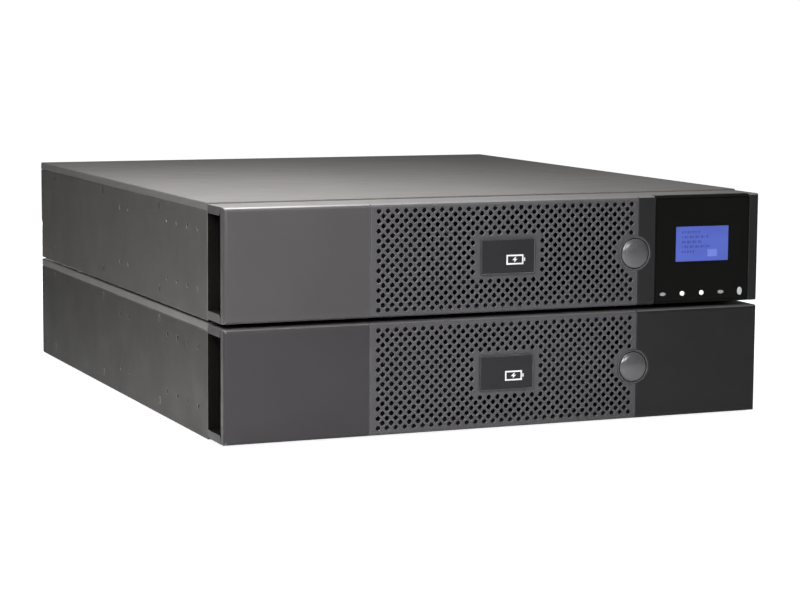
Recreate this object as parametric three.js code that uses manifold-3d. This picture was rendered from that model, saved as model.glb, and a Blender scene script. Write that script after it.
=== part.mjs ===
// A rack-height uninterruptible power supply standing on its matching extended battery module.
// Millimetres. +X is right, -Y is the front, +Z is up, and the origin is the middle of the base.
import * as THREE from 'three';
import { mergeVertices } from 'three/addons/utils/BufferGeometryUtils.js';
import Module from 'manifold-3d';

// Both units
const unitWidth = 441;
const unitDepth = 522;
const casingHeight = 86.2;
const footHeight = 1.5;
const sheet = 1.2;
const clearance = 0.3;
const roundSteps = 24;
const cornerSteps = 4;
const past = 1; // how far a cut reaches past a face, and a joined piece into its neighbour
const standOut = 2.5; // how far knobs and rear fittings stand out of their panels

// Sheet-metal casing
const coverLip = 6;
const flangeWidth = 10;
const bracketHoleRadius = 1.7;
const bracketRowPitch = 44.45;
const bracketFirstColumn = 60;
const bracketColumnPitch = 25.2;
const bracketColumns = 4;
const railFirstColumn = 240.5;
const railColumnPitch = 22.3;
const coverScrewShares = [0.3, 0.605, 0.91]; // of the way from front to rear
const coverScrewInset = 11;
const footWidth = 18;
const footInset = 40;
const runnerWidth = 8;
const runnerShares = [0.2, 0.8]; // of the way across each battery bay
const ventPitch = 12;
const ventWidth = 5;
const ventLow = 16;
const ventHeadroom = 14;
const ventEnd = 24;
const moduleVentGap = 8;

// Front mouldings
const bezelInset = 1.1; // the casing stands this much above and below the front mouldings
const bezelDepth = 37;
const bezelWall = 3;
const faceDepth = 8;
const faceWall = 2.5;
const edgeRadius = 3.5;
const cornerRadius = 3;
const fingerSlotDepth = 8;
const fingerSlotEnd = 6.5;
const gripWall = 2;
const plainPanelWidth = 112.5;
const coverMargin = 10.75; // between the right-hand battery opening and the end of the cover
const grilleThickness = 2;
const grilleRail = 6;
const grillePitch = 18;
const grilleHole = 6;
const badgeWidth = 45;
const badgeHeight = 27;
const badgeThickness = 1.2;
const badgePinRadius = 2;

// Release knob
const knobRadius = 11.5;
const knobGap = 0.7;
const knobRimDrop = 0.5;
const cupWall = 1.2;
const cupDepth = 3;
const stemRadius = 2.3;
const knobInset = 2.5; // from the cover's edge to the knob's axis
const knobDrop = 1.5; // below the middle of the front
const bladeLength = 9;
const bladeWidth = 4;
const bladeThickness = 2;

// Display module
const stripWidth = 15;
const displayWidth = 83;
const glassThickness = 1.5;
const glassMargin = 0.8;
const glassEnd = 2.2;
const screenWidth = 46.4;
const screenHeight = 27;
const screenRise = 4.2; // above the middle of the front
const screenInset = 0.4;
const keyHeight = 8; // above the bottom of the front mouldings
const keyMargin = 7.3;
const keyProud = 0.4;
const keyLength = 4.5;
const keyTravelRoom = 1.2;
const displayBackMargin = 7;
const displayBackDepth = 22;
const boardThickness = 1.6;
const controlBoardInset = 1;
const controlPlug = [24, 7];
const controlPlugDepth = 4;

// Batteries and trays
const batteryLength = 151;
const batteryWidth = 94;
const batteryHeight = 65;
const batteriesPerTray = 4;
const batteryGap = 0.5;
const terminalHeight = 3;
const terminalSize = 6;
const terminalShares = [0.08, 0.92]; // of the way along each battery
const trayWall = 25;
const trayBase = 5;
const bayStart = 13;
const trayGap = 0.75; // either side of a tray
const trayFrontGap = 2;
const openingHeadroom = 2.5;
const doorOverlap = 2;
const doorLip = 9;
const doorLipHeight = 40;

// Electronics
const electronicsGap = 10;
const electronicsMargin = 6;
const boardSetback = 20;
const boardLength = 235;
const boardHeight = 8;
const postInset = 8;
const postRadius = 3;
const capacitorRadius = 11;
const capacitorHeight = 35;
const capacitors = 6;
const capacitorInset = 40;
const capacitorGapAcross = 6;
const capacitorGapAlong = 8;
const heatsinkWidth = 80;
const heatsinkLength = 120;
const heatsinkHeight = 48;
const heatsinkFins = 9;
const heatsinkInset = 16;
const heatsinkBase = 5;
const finThickness = 2.4;
const transformerWidth = 90;
const transformerLength = 58;
const transformerHeight = 64;
const transformerGap = 12;
const transformerFootReach = 8;
const transformerFootInset = 2;
const transformerFootThickness = 3;
const coilOverhang = 10;
const coilInset = 18;
const coilDrop = 12;
const fuseBoardLength = 120;
const fuseRadius = 7;
const fuseInset = 25;
const fuseShares = [0.3, 0.7]; // of the way across the board
const fuseBoardGap = 14;

// Rear fittings
const fanSize = 80;
const fanDepth = 25;
const fanRim = 1.5;
const fanHub = 17;
const fanBlades = 7;
const fanTipGap = 1.5;
const fanArm = 4;
const fanBladeThickness = 1.4;
const fanBladeChord = 17;
const fanBladePitch = 0.9; // radians
const fanBladeRoot = 2;
const rotorGap = 0.6;
const rotorSetback = 1.5;
const guardPitch = 8;
const guardSlot = 4;
const guardRib = 3;
const carrierDepth = 4;
const shaftRadius = 2;
const outletPitch = 34;
const outletsPerBank = 4;
const outletMouth = [28, 21];
const outletIsland = [22.6, 15.6];
const outletDepth = 15;
const outletFloor = 1;
const outletContact = [2.2, 4.6];
const outletContacts = [[-6.5, -1.5], [6.5, -1.5], [0, 3]];
const outletContactFloor = 3;
const bankHeight = 29;
const bankMargin = 1;
const bankGap = 5;
const inletMouth = [33, 25];
const inletDepth = 19;
const inletDrop = 12;
const inletPin = [8, 2];
const inletPins = [[-8, -3], [8, -3], [0, 5]];
const pinInset = 5;
const socketMouth = [38, 20];
const socketDepth = 16;
const socketPin = [6, 3];
const socketPinPitch = 18;
const moduleSocketPitch = 60;
const moduleSocketBridge = 8;
const fittingBorder = 4;
const fittingLip = 2;
const fittingWall = 2;
const fittingMargin = 2;
const resetRadius = 5;
const resetLength = 10;
const resetRise = 22;
const portBlockWidth = 84;
const portBlockHeight = 22;
const portsRise = 8;
const portDepth = 10;
const portMouths = [[-26, 12.2, 11], [-2, 17, 10], [24, 16, 12]]; // place, width and height
const cardHeight = 34;
const cardGap = 6;
const cardBorder = [8, 5];
const cardGrip = [40, 4];
const cardGripHeight = 1;
const moduleVents = 9;
const moduleVentPitch = 9;
const moduleVentSize = [4, 44];
const fittingSpacing = 5;

// Places worked out from the sizes
const right = unitWidth / 2;
const left = -right;
const front = standOut - unitDepth / 2;
const rearFace = unitDepth / 2 - standOut;
const bezelBack = front + bezelDepth;
const faceBack = front + faceDepth;
const bezelLow = bezelInset;
const bezelHigh = casingHeight - bezelInset;
const middle = casingHeight / 2;
const casingTop = casingHeight - coverLip - clearance;
const trayWidth = batteryLength + 2 * (sheet + clearance);
const trayLength = batteriesPerTray * (batteryWidth + batteryGap) + batteryGap + 2 * sheet;
const trayFront = bezelBack + sheet + trayFrontGap;
const bayWidth = trayWidth + 2 * trayGap;
const openingTop = trayBase + sheet + clearance + batteryHeight + terminalHeight + openingHeadroom;
const coverWidth = bayStart + 2 * bayWidth + coverMargin - trayGap;
const coverEdge = left + coverWidth;
const knobX = coverEdge - knobInset;
const knobZ = middle - knobDrop;
const cupRadius = knobRadius + knobGap + cupWall;
const badgeX = left + (plainPanelWidth + coverWidth) / 2;
const displayLeft = coverEdge + stripWidth;
const displayRight = displayLeft + displayWidth;
const screenX = displayLeft + displayWidth / 2;
const screenZ = middle + screenRise;
const fittingFace = rearFace + standOut;
const fanRight = right - sheet - flangeWidth - fittingMargin;
const fanX = fanRight - fanSize / 2;
const fanBore = fanSize / 2 - fanRim;
const inletWidth = inletMouth[0] + 2 * fittingBorder;
const inletX = fanRight - fanSize - fittingSpacing - inletWidth / 2;
const bankWidth = outletsPerBank * outletPitch + 2 * bankMargin;
const bankX = inletX - inletWidth / 2 - fittingSpacing - bankWidth / 2;
const socketWidth = socketMouth[0] + 2 * fittingBorder;
const socketX = bankX - bankWidth / 2 - fittingSpacing - socketWidth / 2;
const portsX = left + sheet + flangeWidth + fittingMargin + portBlockWidth / 2;
const inletZ = middle - inletDrop;
const resetZ = middle + resetRise;
const bankHeights = [middle - (bankHeight + bankGap) / 2, middle + (bankHeight + bankGap) / 2];
const portsZ = sheet + portsRise + portBlockHeight / 2;
const cardZ = portsZ + (portBlockHeight + cardHeight) / 2 + cardGap;
const moduleSockets = [socketX - moduleSocketPitch / 2, socketX + moduleSocketPitch / 2];
const electronicsLeft = bayEdges(0)[1] + electronicsGap;
const electronicsRight = right - sheet - electronicsMargin;
const boardFront = bezelBack + boardSetback;
const boardTop = boardHeight + boardThickness;

const wasm = await Module();
wasm.setup();

function toSolid(geometry) {
  geometry.deleteAttribute('normal');
  geometry.deleteAttribute('uv');
  const merged = mergeVertices(geometry, 1e-4);
  const vertProperties = new Float32Array(merged.attributes.position.array);
  const triVerts = new Uint32Array(merged.index.array);
  return new wasm.Manifold(new wasm.Mesh({ numProp: 3, vertProperties, triVerts }));
}

function toGeometry(solid) {
  const mesh = solid.getMesh();
  const geometry = new THREE.BufferGeometry();
  geometry.setAttribute('position', new THREE.BufferAttribute(mesh.vertProperties, 3));
  geometry.setIndex(new THREE.BufferAttribute(mesh.triVerts, 1));
  geometry.computeVertexNormals();
  return geometry;
}

// A box between two values on each axis
function block(x, y, z) {
  const geometry = new THREE.BoxGeometry(x[1] - x[0], y[1] - y[0], z[1] - z[0]);
  geometry.translate((x[0] + x[1]) / 2, (y[0] + y[1]) / 2, (z[0] + z[1]) / 2);
  return toSolid(geometry);
}

function around(centre, size) {
  return [centre - size / 2, centre + size / 2];
}

function fingerSlot() {
  return [bezelLow + fingerSlotEnd, bezelHigh - fingerSlotEnd];
}

// A round bar from one y to another
function barY(x, z, radius, y, segments = 12) {
  const geometry = new THREE.CylinderGeometry(radius, radius, y[1] - y[0], segments);
  geometry.translate(x, (y[0] + y[1]) / 2, z);
  return toSolid(geometry);
}

function barX(y, z, radius, x, segments = 8) {
  const geometry = new THREE.CylinderGeometry(radius, radius, x[1] - x[0], segments);
  geometry.rotateZ(Math.PI / 2);
  geometry.translate((x[0] + x[1]) / 2, y, z);
  return toSolid(geometry);
}

function barZ(x, y, radius, z, segments = 12) {
  const geometry = new THREE.CylinderGeometry(radius, radius, z[1] - z[0], segments);
  geometry.rotateX(Math.PI / 2);
  geometry.translate(x, y, (z[0] + z[1]) / 2);
  return toSolid(geometry);
}

// An oval plate facing the front
function ovalY(x, z, width, height, y, segments = 12) {
  const geometry = new THREE.CylinderGeometry(0.5, 0.5, y[1] - y[0], segments);
  geometry.scale(width, 1, height);
  geometry.translate(x, (y[0] + y[1]) / 2, z);
  return toSolid(geometry);
}

// A box whose upper and lower front edges are rounded, and its outer upright corner if it has one
function roundedFront(x, y, z, corner = 0) {
  const profile = new THREE.Shape();
  profile.moveTo(y[1], z[0]);
  profile.lineTo(y[1], z[1]);
  profile.lineTo(y[0] + edgeRadius, z[1]);
  profile.absarc(y[0] + edgeRadius, z[1] - edgeRadius, edgeRadius, Math.PI / 2, Math.PI, false);
  profile.lineTo(y[0], z[0] + edgeRadius);
  profile.absarc(y[0] + edgeRadius, z[0] + edgeRadius, edgeRadius, Math.PI, 1.5 * Math.PI, false);
  const along = { depth: x[1] - x[0], bevelEnabled: false, curveSegments: cornerSteps };
  const bar = new THREE.ExtrudeGeometry(profile, along);
  bar.applyMatrix4(new THREE.Matrix4().makeBasis(
    new THREE.Vector3(0, 1, 0), new THREE.Vector3(0, 0, 1), new THREE.Vector3(1, 0, 0)));
  bar.translate(x[0], 0, 0);
  const solid = toSolid(bar);
  if (corner === 0) return solid;
  const plan = new THREE.Shape();
  const outer = corner < 0 ? x[0] : x[1];
  const inner = corner < 0 ? x[1] : x[0];
  const centre = outer - corner * cornerRadius;
  plan.moveTo(inner, y[0]);
  plan.lineTo(inner, y[1]);
  plan.lineTo(outer, y[1]);
  plan.lineTo(outer, y[0] + cornerRadius);
  plan.absarc(centre, y[0] + cornerRadius, cornerRadius, corner < 0 ? Math.PI : 0, 1.5 * Math.PI, corner > 0);
  const upright = { depth: z[1] - z[0], bevelEnabled: false, curveSegments: cornerSteps };
  const post = new THREE.ExtrudeGeometry(plan, upright);
  post.translate(0, 0, z[0]);
  return solid.intersect(toSolid(post));
}

const finishes = {
  casingPaint: [0x3b3a39, 0.55, 0.3],
  coverPaint: [0x5a5957, 0.45, 0.3],
  bezelPlastic: [0x2f2e31, 0.5, 0],
  grillePlastic: [0x29282b, 0.5, 0],
  badgePlastic: [0x232326, 0.35, 0],
  glossBlack: [0x0a0b0b, 0.08, 0],
  screenBlue: [0x3d55c8, 0.2, 0],
  keyLight: [0xd8dde2, 0.4, 0],
  batteryCase: [0x3a3d42, 0.6, 0],
  zincSteel: [0xa9adb1, 0.35, 0.8],
  rubber: [0x141414, 0.9, 0],
  circuitBoard: [0x1f5a34, 0.5, 0],
  aluminium: [0xb8babd, 0.4, 0.9],
  coreSteel: [0x555a60, 0.5, 0.7],
  socketPlastic: [0x17181a, 0.5, 0],
  fanPlastic: [0x1b1c1e, 0.5, 0],
  buttonBlack: [0x0f0f10, 0.4, 0],
};

function addPiece(group, name, solid, finish) {
  const [color, roughness, metalness] = finishes[finish];
  const material = new THREE.MeshStandardMaterial({ color, roughness, metalness });
  const mesh = new THREE.Mesh(toGeometry(solid), material);
  mesh.name = name;
  group.add(mesh);
}

// Left and right edges of the opening for a tray, counted from the left-hand tray
function bayEdges(index) {
  const low = left + bayStart - trayGap + index * bayWidth;
  return [low, low + bayWidth];
}

function bracketHoles() {
  const columns = [railFirstColumn, railFirstColumn + railColumnPitch];
  for (let i = 0; i < bracketColumns; i += 1) columns.push(bracketFirstColumn + i * bracketColumnPitch);
  const places = [];
  for (const column of columns) {
    for (const side of [-1, 1]) places.push([front + column, middle + side * bracketRowPitch / 2]);
  }
  for (const share of coverScrewShares) {
    const y = front + share * (rearFace - front);
    places.push([y, coverScrewInset], [y, casingHeight - coverScrewInset]);
  }
  return places;
}

// Floor, sides and front wall, with a flange along each side that the top cover rests on
function makeCasing(bays, ventsFrom) {
  const inside = [left + sheet, right - sheet];
  const betweenFlanges = [inside[0] + flangeWidth, inside[1] - flangeWidth];
  const behindWall = [bezelBack + sheet, rearFace + past];
  const behindFlanges = [rearFace - 2 * sheet - clearance, rearFace + past];
  const throughTop = [casingTop - 2 * sheet, casingTop + past];
  let casing = block([left, right], [bezelBack, rearFace], [0, casingTop]);
  casing = casing.subtract(block(inside, behindWall, [sheet, casingTop - sheet]));
  casing = casing.subtract(block(betweenFlanges, behindWall, throughTop));
  casing = casing.subtract(block(inside, behindFlanges, throughTop));
  const wall = [bezelBack - past, bezelBack + sheet + past];
  const trayPath = [trayBase - clearance, openingTop];
  const underTrays = [bezelBack + sheet, behindFlanges[0]];
  for (let bay = 0; bay < bays; bay += 1) {
    const [low, high] = bayEdges(bay);
    for (const share of runnerShares) {
      const runner = around(low + share * bayWidth, runnerWidth);
      casing = casing.add(block(runner, underTrays, [sheet / 2, trayBase - clearance]));
    }
  }
  casing = casing.subtract(block([bayEdges(0)[0], bayEdges(bays - 1)[1]], wall, trayPath));
  for (let x = ventsFrom; x < right - ventEnd; x += ventPitch) {
    casing = casing.subtract(block([x, x + ventWidth], wall, [ventLow, casingTop - ventHeadroom]));
  }
  for (const [y, z] of bracketHoles()) {
    casing = casing.subtract(barX(y, z, bracketHoleRadius, [left - past, left + sheet + past]));
    casing = casing.subtract(barX(y, z, bracketHoleRadius, [right - sheet - past, right + past]));
  }
  return casing;
}

function makeTopCover() {
  const low = casingHeight - coverLip;
  const cover = block([left, right], [bezelBack, rearFace], [low, casingHeight]);
  const inside = block([left + sheet, right - sheet], [bezelBack - past, rearFace + past],
    [low - past, casingHeight - sheet]);
  return cover.subtract(inside);
}

function rearPlate() {
  return block([left + sheet + clearance, right - sheet - clearance], [rearFace - sheet, rearFace],
    [sheet + clearance, casingHeight - sheet - clearance]);
}

// A hole in the rear panel
function panelCut(x, z, width, height) {
  return block(around(x, width + 2 * clearance), [rearFace - sheet - past, rearFace + past],
    around(z, height + 2 * clearance));
}

// A hole for the body of a rear fitting, which is smaller than its outer plate
function fittingCut(x, z, width, height) {
  return panelCut(x, z, width - 2 * fittingLip, height - 2 * fittingLip);
}

// A flat rubber frame under the casing
function makeFoot(low) {
  const thick = [low - footHeight, -clearance];
  const x = [left + footInset, right - footInset];
  const y = [bezelBack + footInset - footWidth / 2, rearFace - footInset + footWidth / 2];
  const inside = block([x[0] + footWidth, x[1] - footWidth], [y[0] + footWidth, y[1] - footWidth],
    [thick[0] - past, thick[1] + past]);
  return block(x, y, thick).subtract(inside);
}

// The frame behind the lift-off cover, with a finger slot in its outer side
function makeFrontFrame() {
  const y = [faceBack + clearance, bezelBack - clearance];
  const through = [y[0] - past, y[1] + past];
  const wallIn = left + fingerSlotDepth + gripWall;
  const frame = block([left, coverEdge], y, [bezelLow, bezelHigh]);
  return frame
    .subtract(block([wallIn, coverEdge + past], through, [bezelLow + bezelWall, bezelHigh - bezelWall]))
    .subtract(block([left - past, left + fingerSlotDepth], through, fingerSlot()));
}

// The fixed box at the right-hand end, with its face, a finger slot and a notch for the knob's cup
function makeBezel(hasDisplay) {
  const back = bezelBack - clearance;
  const inner = [bezelLow + bezelWall, bezelHigh - bezelWall];
  const faceLeft = coverEdge + clearance;
  const boxLeft = faceLeft + faceWall;
  const boxRight = right - fingerSlotDepth - gripWall;
  const step = faceBack + clearance;
  let bezel = roundedFront([faceLeft, right], [front, back], [bezelLow, bezelHigh], 1);
  if (hasDisplay) {
    bezel = bezel.subtract(block([boxLeft, boxRight], [front + faceWall, step], inner));
    bezel = bezel.subtract(block([boxLeft, boxRight], [step + faceWall, back + past], inner));
    const bay = [displayLeft - clearance, displayRight + clearance];
    bezel = bezel.subtract(block(bay, [front - past, step], [bezelLow - past, bezelHigh + past]));
    const margin = displayBackMargin - clearance;
    bezel = bezel.subtract(block([displayLeft + margin, displayRight - margin], [faceBack, back + past],
      [bezelLow + margin, bezelHigh - margin]));
  } else {
    bezel = bezel.subtract(block([boxLeft, boxRight], [front + faceWall, back + past], inner));
  }
  bezel = bezel.subtract(block([right - fingerSlotDepth, right + past], [step, back + past], fingerSlot()));
  return bezel.subtract(barY(knobX, knobZ, cupRadius + clearance, [front - past, step], roundSteps));
}

// The lift-off cover: a plain panel, a frame that carries the grille, and the knob's cup
function makeFrontCover() {
  const inner = [bezelLow + bezelWall, bezelHigh - bezelWall];
  const panelEnd = left + plainPanelWidth;
  let cover = roundedFront([left, panelEnd], [front, faceBack], [bezelLow, bezelHigh], -1);
  cover = cover.subtract(block([left + faceWall, panelEnd - faceWall],
    [front + faceWall, faceBack + past], inner));
  const frameFront = front + grilleThickness + clearance;
  const frameEnds = [inner[0] + clearance, inner[1] - clearance];
  let frame = block([panelEnd - faceWall, coverEdge], [frameFront, faceBack], frameEnds);
  frame = frame.subtract(block([panelEnd + grilleRail, coverEdge - 2 * grilleRail],
    [frameFront - past, faceBack + past], [frameEnds[0] + grilleRail, frameEnds[1] - grilleRail]));
  cover = cover.add(frame);
  cover = cover.add(barY(knobX, knobZ, cupRadius, [front, faceBack], roundSteps));
  const cup = [front - past, front + cupDepth];
  cover = cover.subtract(barY(knobX, knobZ, cupRadius - cupWall, cup, roundSteps));
  return cover.subtract(barY(knobX, knobZ, stemRadius + clearance, [front, faceBack + past]));
}

// The grille's openings are square, stand on a corner and are set in staggered rows
function makeGrille() {
  const low = left + plainPanelWidth + clearance;
  let grille = roundedFront([low, coverEdge], [front, faceBack], [bezelLow, bezelHigh]);
  grille = grille.subtract(block([low - past, coverEdge + past], [front + grilleThickness, faceBack + past],
    [bezelLow + bezelWall, bezelHigh - bezelWall]));
  const openings = [];
  const through = [front - past, front + faceWall + past];
  const reach = badgeWidth / 2 + grilleHole;
  const rise = badgeHeight / 2 + grilleHole;
  const rows = Math.floor((bezelHigh - bezelLow - 2 * edgeRadius) / grillePitch);
  const columns = Math.floor((coverEdge - low - grillePitch) / (grillePitch / 2));
  for (let column = 0; column < columns; column += 1) {
    const x = low + grillePitch / 2 + column * (grillePitch / 2);
    const count = rows - (column % 2);
    for (let row = 0; row < count; row += 1) {
      const z = middle + (row - (count - 1) / 2) * grillePitch;
      const underBadge = Math.abs(x - badgeX) < reach && Math.abs(z - middle) < rise;
      const nearKnob = Math.hypot(x - knobX, z - knobZ) < cupRadius + grilleHole;
      if (!underBadge && !nearKnob) openings.push(barY(x, z, grilleHole / 2, through, 4));
    }
  }
  for (const opening of openings) grille = grille.subtract(opening);
  grille = grille.subtract(barY(badgeX, middle, badgePinRadius + clearance, through));
  const knobPlace = barY(knobX, knobZ, cupRadius + clearance, [front - past, faceBack + past], roundSteps);
  return grille.subtract(knobPlace);
}

function makeBadge() {
  const plate = block(around(badgeX, badgeWidth), [front - clearance - badgeThickness, front - clearance],
    around(middle, badgeHeight));
  const pin = [front - clearance - badgeThickness / 2, front + 1.5 * grilleThickness];
  return plate.add(barY(badgeX, middle, badgePinRadius, pin));
}

// A domed disc on a stem, with a latch blade behind the cover
function makeKnob() {
  const seat = front + cupDepth - clearance;
  const rim = front + knobRimDrop;
  const blade = [faceBack + clearance, faceBack + clearance + bladeThickness];
  const points = [];
  const steps = 6;
  for (let i = 0; i < steps; i += 1) {
    const angle = (i / steps) * (Math.PI / 2);
    const crown = (standOut + rim - front) * Math.cos(angle);
    points.push(new THREE.Vector2(knobRadius * Math.sin(angle), rim - crown));
  }
  points.push(new THREE.Vector2(knobRadius, rim), new THREE.Vector2(knobRadius, seat));
  points.push(new THREE.Vector2(stemRadius, seat), new THREE.Vector2(stemRadius, blade[1]));
  points.push(new THREE.Vector2(0, blade[1]));
  const dome = new THREE.LatheGeometry(points, roundSteps);
  dome.translate(knobX, 0, knobZ);
  return toSolid(dome).add(block([knobX - bladeLength, knobX], blade, around(knobZ, bladeWidth)));
}

const keys = [
  { name: 'ups_key_escape', width: 5, height: 2.6 },
  { name: 'ups_key_down', width: 3.6, height: 3.6 },
  { name: 'ups_key_up', width: 3.6, height: 3.6 },
  { name: 'ups_key_enter', width: 5, height: 2.6 },
  { name: 'ups_key_power', width: 4, height: 6.2 },
];

function keyX(index) {
  const room = displayWidth - 2 * keyMargin;
  return displayLeft + keyMargin + (index * room) / (keys.length - 1);
}

function keySolid(index, grow, y) {
  const { width, height } = keys[index];
  return ovalY(keyX(index), bezelLow + keyHeight, width + 2 * grow, height + 2 * grow, y);
}

function makeDisplayHousing() {
  const floor = front + glassThickness + clearance;
  let housing = roundedFront([displayLeft, displayRight], [front, faceBack], [bezelLow, bezelHigh]);
  housing = housing.subtract(block([displayLeft + glassMargin, displayRight - glassMargin],
    [front - past, floor], [bezelLow + glassEnd, bezelHigh - glassEnd]));
  const margin = displayBackMargin;
  const back = front + displayBackDepth;
  housing = housing.add(block([displayLeft + margin, displayRight - margin], [faceBack - past, back],
    [bezelLow + margin, bezelHigh - margin]));
  const rib = 2;
  const hollow = [bezelLow + margin + rib, bezelHigh - margin - rib];
  const halves = [
    [displayLeft + margin + rib, screenX - rib / 2],
    [screenX + rib / 2, displayRight - margin - rib],
  ];
  for (const ends of halves) {
    housing = housing.subtract(block(ends, [faceBack, back + past], hollow));
  }
  for (let i = 0; i < keys.length; i += 1) {
    housing = housing.subtract(keySolid(i, clearance, [front, front + keyLength + keyTravelRoom]));
  }
  return housing;
}

function makeGlass() {
  let glass = block([displayLeft + glassMargin + clearance, displayRight - glassMargin - clearance],
    [front, front + glassThickness], [bezelLow + glassEnd + clearance, bezelHigh - glassEnd - clearance]);
  const through = [front - past, front + glassThickness + past];
  glass = glass.subtract(block(around(screenX, screenWidth + 2 * clearance), through,
    around(screenZ, screenHeight + 2 * clearance)));
  for (let i = 0; i < keys.length; i += 1) {
    glass = glass.subtract(keySolid(i, clearance, through));
  }
  return glass;
}

function makeScreen() {
  return block(around(screenX, screenWidth), [front + screenInset, front + glassThickness],
    around(screenZ, screenHeight));
}

function makeControlBoard() {
  const y = front + displayBackDepth + clearance;
  const margin = displayBackMargin + controlBoardInset;
  const board = block([displayLeft + margin, displayRight - margin], [y, y + boardThickness],
    [bezelLow + margin, bezelHigh - margin]);
  return board.add(block(around(screenX, controlPlug[0]),
    [y + boardThickness / 2, y + boardThickness + controlPlugDepth], around(middle, controlPlug[1])));
}

function makeTray(bay) {
  const low = bayEdges(bay)[0] + trayGap;
  const y = [trayFront, trayFront + trayLength];
  const tray = block([low, low + trayWidth], y, [trayBase, trayBase + trayWall]);
  const hollow = block([low + sheet, low + trayWidth - sheet], [y[0] + sheet, y[1] - sheet],
    [trayBase + sheet, trayBase + trayWall + past]);
  const notch = block(around(low + trayWidth / 2, trayWidth / 2), [y[0] - past, y[0] + sheet + past],
    [trayBase + trayWall / 2, trayBase + trayWall + past]);
  return tray.subtract(hollow).subtract(notch);
}

function makeBattery(bay, index) {
  const low = bayEdges(bay)[0] + trayGap + sheet + clearance;
  const y = trayFront + sheet + batteryGap + index * (batteryWidth + batteryGap);
  const base = trayBase + sheet + clearance;
  let battery = block([low, low + batteryLength], [y, y + batteryWidth], [base, base + batteryHeight]);
  for (const share of terminalShares) {
    const x = low + share * batteryLength;
    battery = battery.add(block(around(x, terminalSize), around(y + batteryWidth / 2, terminalSize),
      [base + batteryHeight - past, base + batteryHeight + terminalHeight]));
  }
  return battery;
}

// The steel plate that keeps the trays in, with a folded pull lip
function makeBatteryDoor(bays) {
  const y = bezelBack - clearance;
  const low = left + fingerSlotDepth + gripWall + clearance;
  const high = bayEdges(bays - 1)[1] + doorOverlap;
  const door = block([low, high], [y - sheet, y],
    [bezelLow + bezelWall + clearance, bezelHigh - bezelWall - clearance]);
  return door.add(block([high - sheet, high], [y - doorLip, y - sheet / 2], around(middle, doorLipHeight)));
}

// Four posts hold a board up from the floor
function boardPosts(board, x, y) {
  let posted = board;
  for (const postX of [x[0] + postInset, x[1] - postInset]) {
    for (const postY of [y[0] + postInset, y[1] - postInset]) {
      posted = posted.add(barZ(postX, postY, postRadius, [sheet + clearance, boardTop], 8));
    }
  }
  return posted;
}

function makePowerBoard() {
  const x = [electronicsLeft, electronicsRight];
  const y = [boardFront, boardFront + boardLength];
  let board = boardPosts(block(x, y, [boardHeight, boardTop]), x, y);
  const firstCapacitor = x[0] + heatsinkWidth + capacitorInset;
  for (let i = 0; i < capacitors; i += 1) {
    const row = Math.floor(i / 2);
    const centreX = firstCapacitor + (i % 2) * (2 * capacitorRadius + capacitorGapAcross);
    const centreY = y[0] + capacitorInset + row * (2 * capacitorRadius + capacitorGapAlong);
    board = board.add(barZ(centreX, centreY, capacitorRadius, [boardTop - past, boardTop + capacitorHeight]));
  }
  return board;
}

function makeHeatsink() {
  const x = [electronicsLeft + heatsinkInset, electronicsLeft + heatsinkInset + heatsinkWidth];
  const y = around(boardFront + boardLength / 2, heatsinkLength);
  const base = boardTop + clearance;
  let heatsink = block(x, y, [base, base + heatsinkBase]);
  const pitch = (heatsinkWidth - finThickness) / (heatsinkFins - 1);
  for (let i = 0; i < heatsinkFins; i += 1) {
    const fin = x[0] + i * pitch;
    const upright = [base + heatsinkBase - past, base + heatsinkHeight];
    heatsink = heatsink.add(block([fin, fin + finThickness], y, upright));
  }
  return heatsink;
}

function makeTransformer() {
  const x = around((electronicsLeft + electronicsRight) / 2, transformerWidth);
  const start = boardFront + boardLength + transformerGap;
  const y = [start, start + transformerLength];
  const base = sheet + clearance;
  const coreY = [y[0] + coilOverhang, y[1] - coilOverhang];
  const core = block(x, coreY, [base, base + transformerHeight]);
  const foot = block([x[0] - transformerFootReach, x[1] + transformerFootReach],
    [coreY[0] + transformerFootInset, coreY[1] - transformerFootInset],
    [base, base + transformerFootThickness]);
  const coil = block([x[0] + coilInset, x[1] - coilInset], y,
    [base + coilDrop, base + transformerHeight - coilDrop]);
  return core.add(foot).add(coil);
}

function makeFuseBoard() {
  const x = [bayEdges(1)[1] + fuseBoardGap, electronicsRight];
  const y = [boardFront, boardFront + fuseBoardLength];
  let board = boardPosts(block(x, y, [boardHeight, boardTop]), x, y);
  for (const share of fuseShares) {
    const fuseX = x[0] + share * (x[1] - x[0]);
    const ends = [y[0] + fuseInset, y[1] - fuseInset];
    board = board.add(barY(fuseX, boardTop + fuseRadius - past, fuseRadius, ends));
  }
  return board;
}

// The frame's motor carrier is on the inner side, and the rotor's shaft turns in it
function fanPlaces() {
  const back = rearFace - sheet - clearance;
  return { y: [back - fanDepth, back], carrier: [back - fanDepth, back - fanDepth + carrierDepth] };
}

function makeFanFrame() {
  const { y, carrier } = fanPlaces();
  let frame = block(around(fanX, fanSize), y, around(middle, fanSize));
  frame = frame.subtract(barY(fanX, middle, fanBore, [y[0] - past, y[1] + past], 32));
  frame = frame.add(block(around(fanX, 2 * fanBore + past), carrier, around(middle, fanArm)));
  frame = frame.add(block(around(fanX, fanArm), carrier, around(middle, 2 * fanBore + past)));
  frame = frame.add(barY(fanX, middle, fanHub, carrier, 20));
  return frame.subtract(barY(fanX, middle, shaftRadius + clearance, [y[0] - past, carrier[1] + past]));
}

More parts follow.
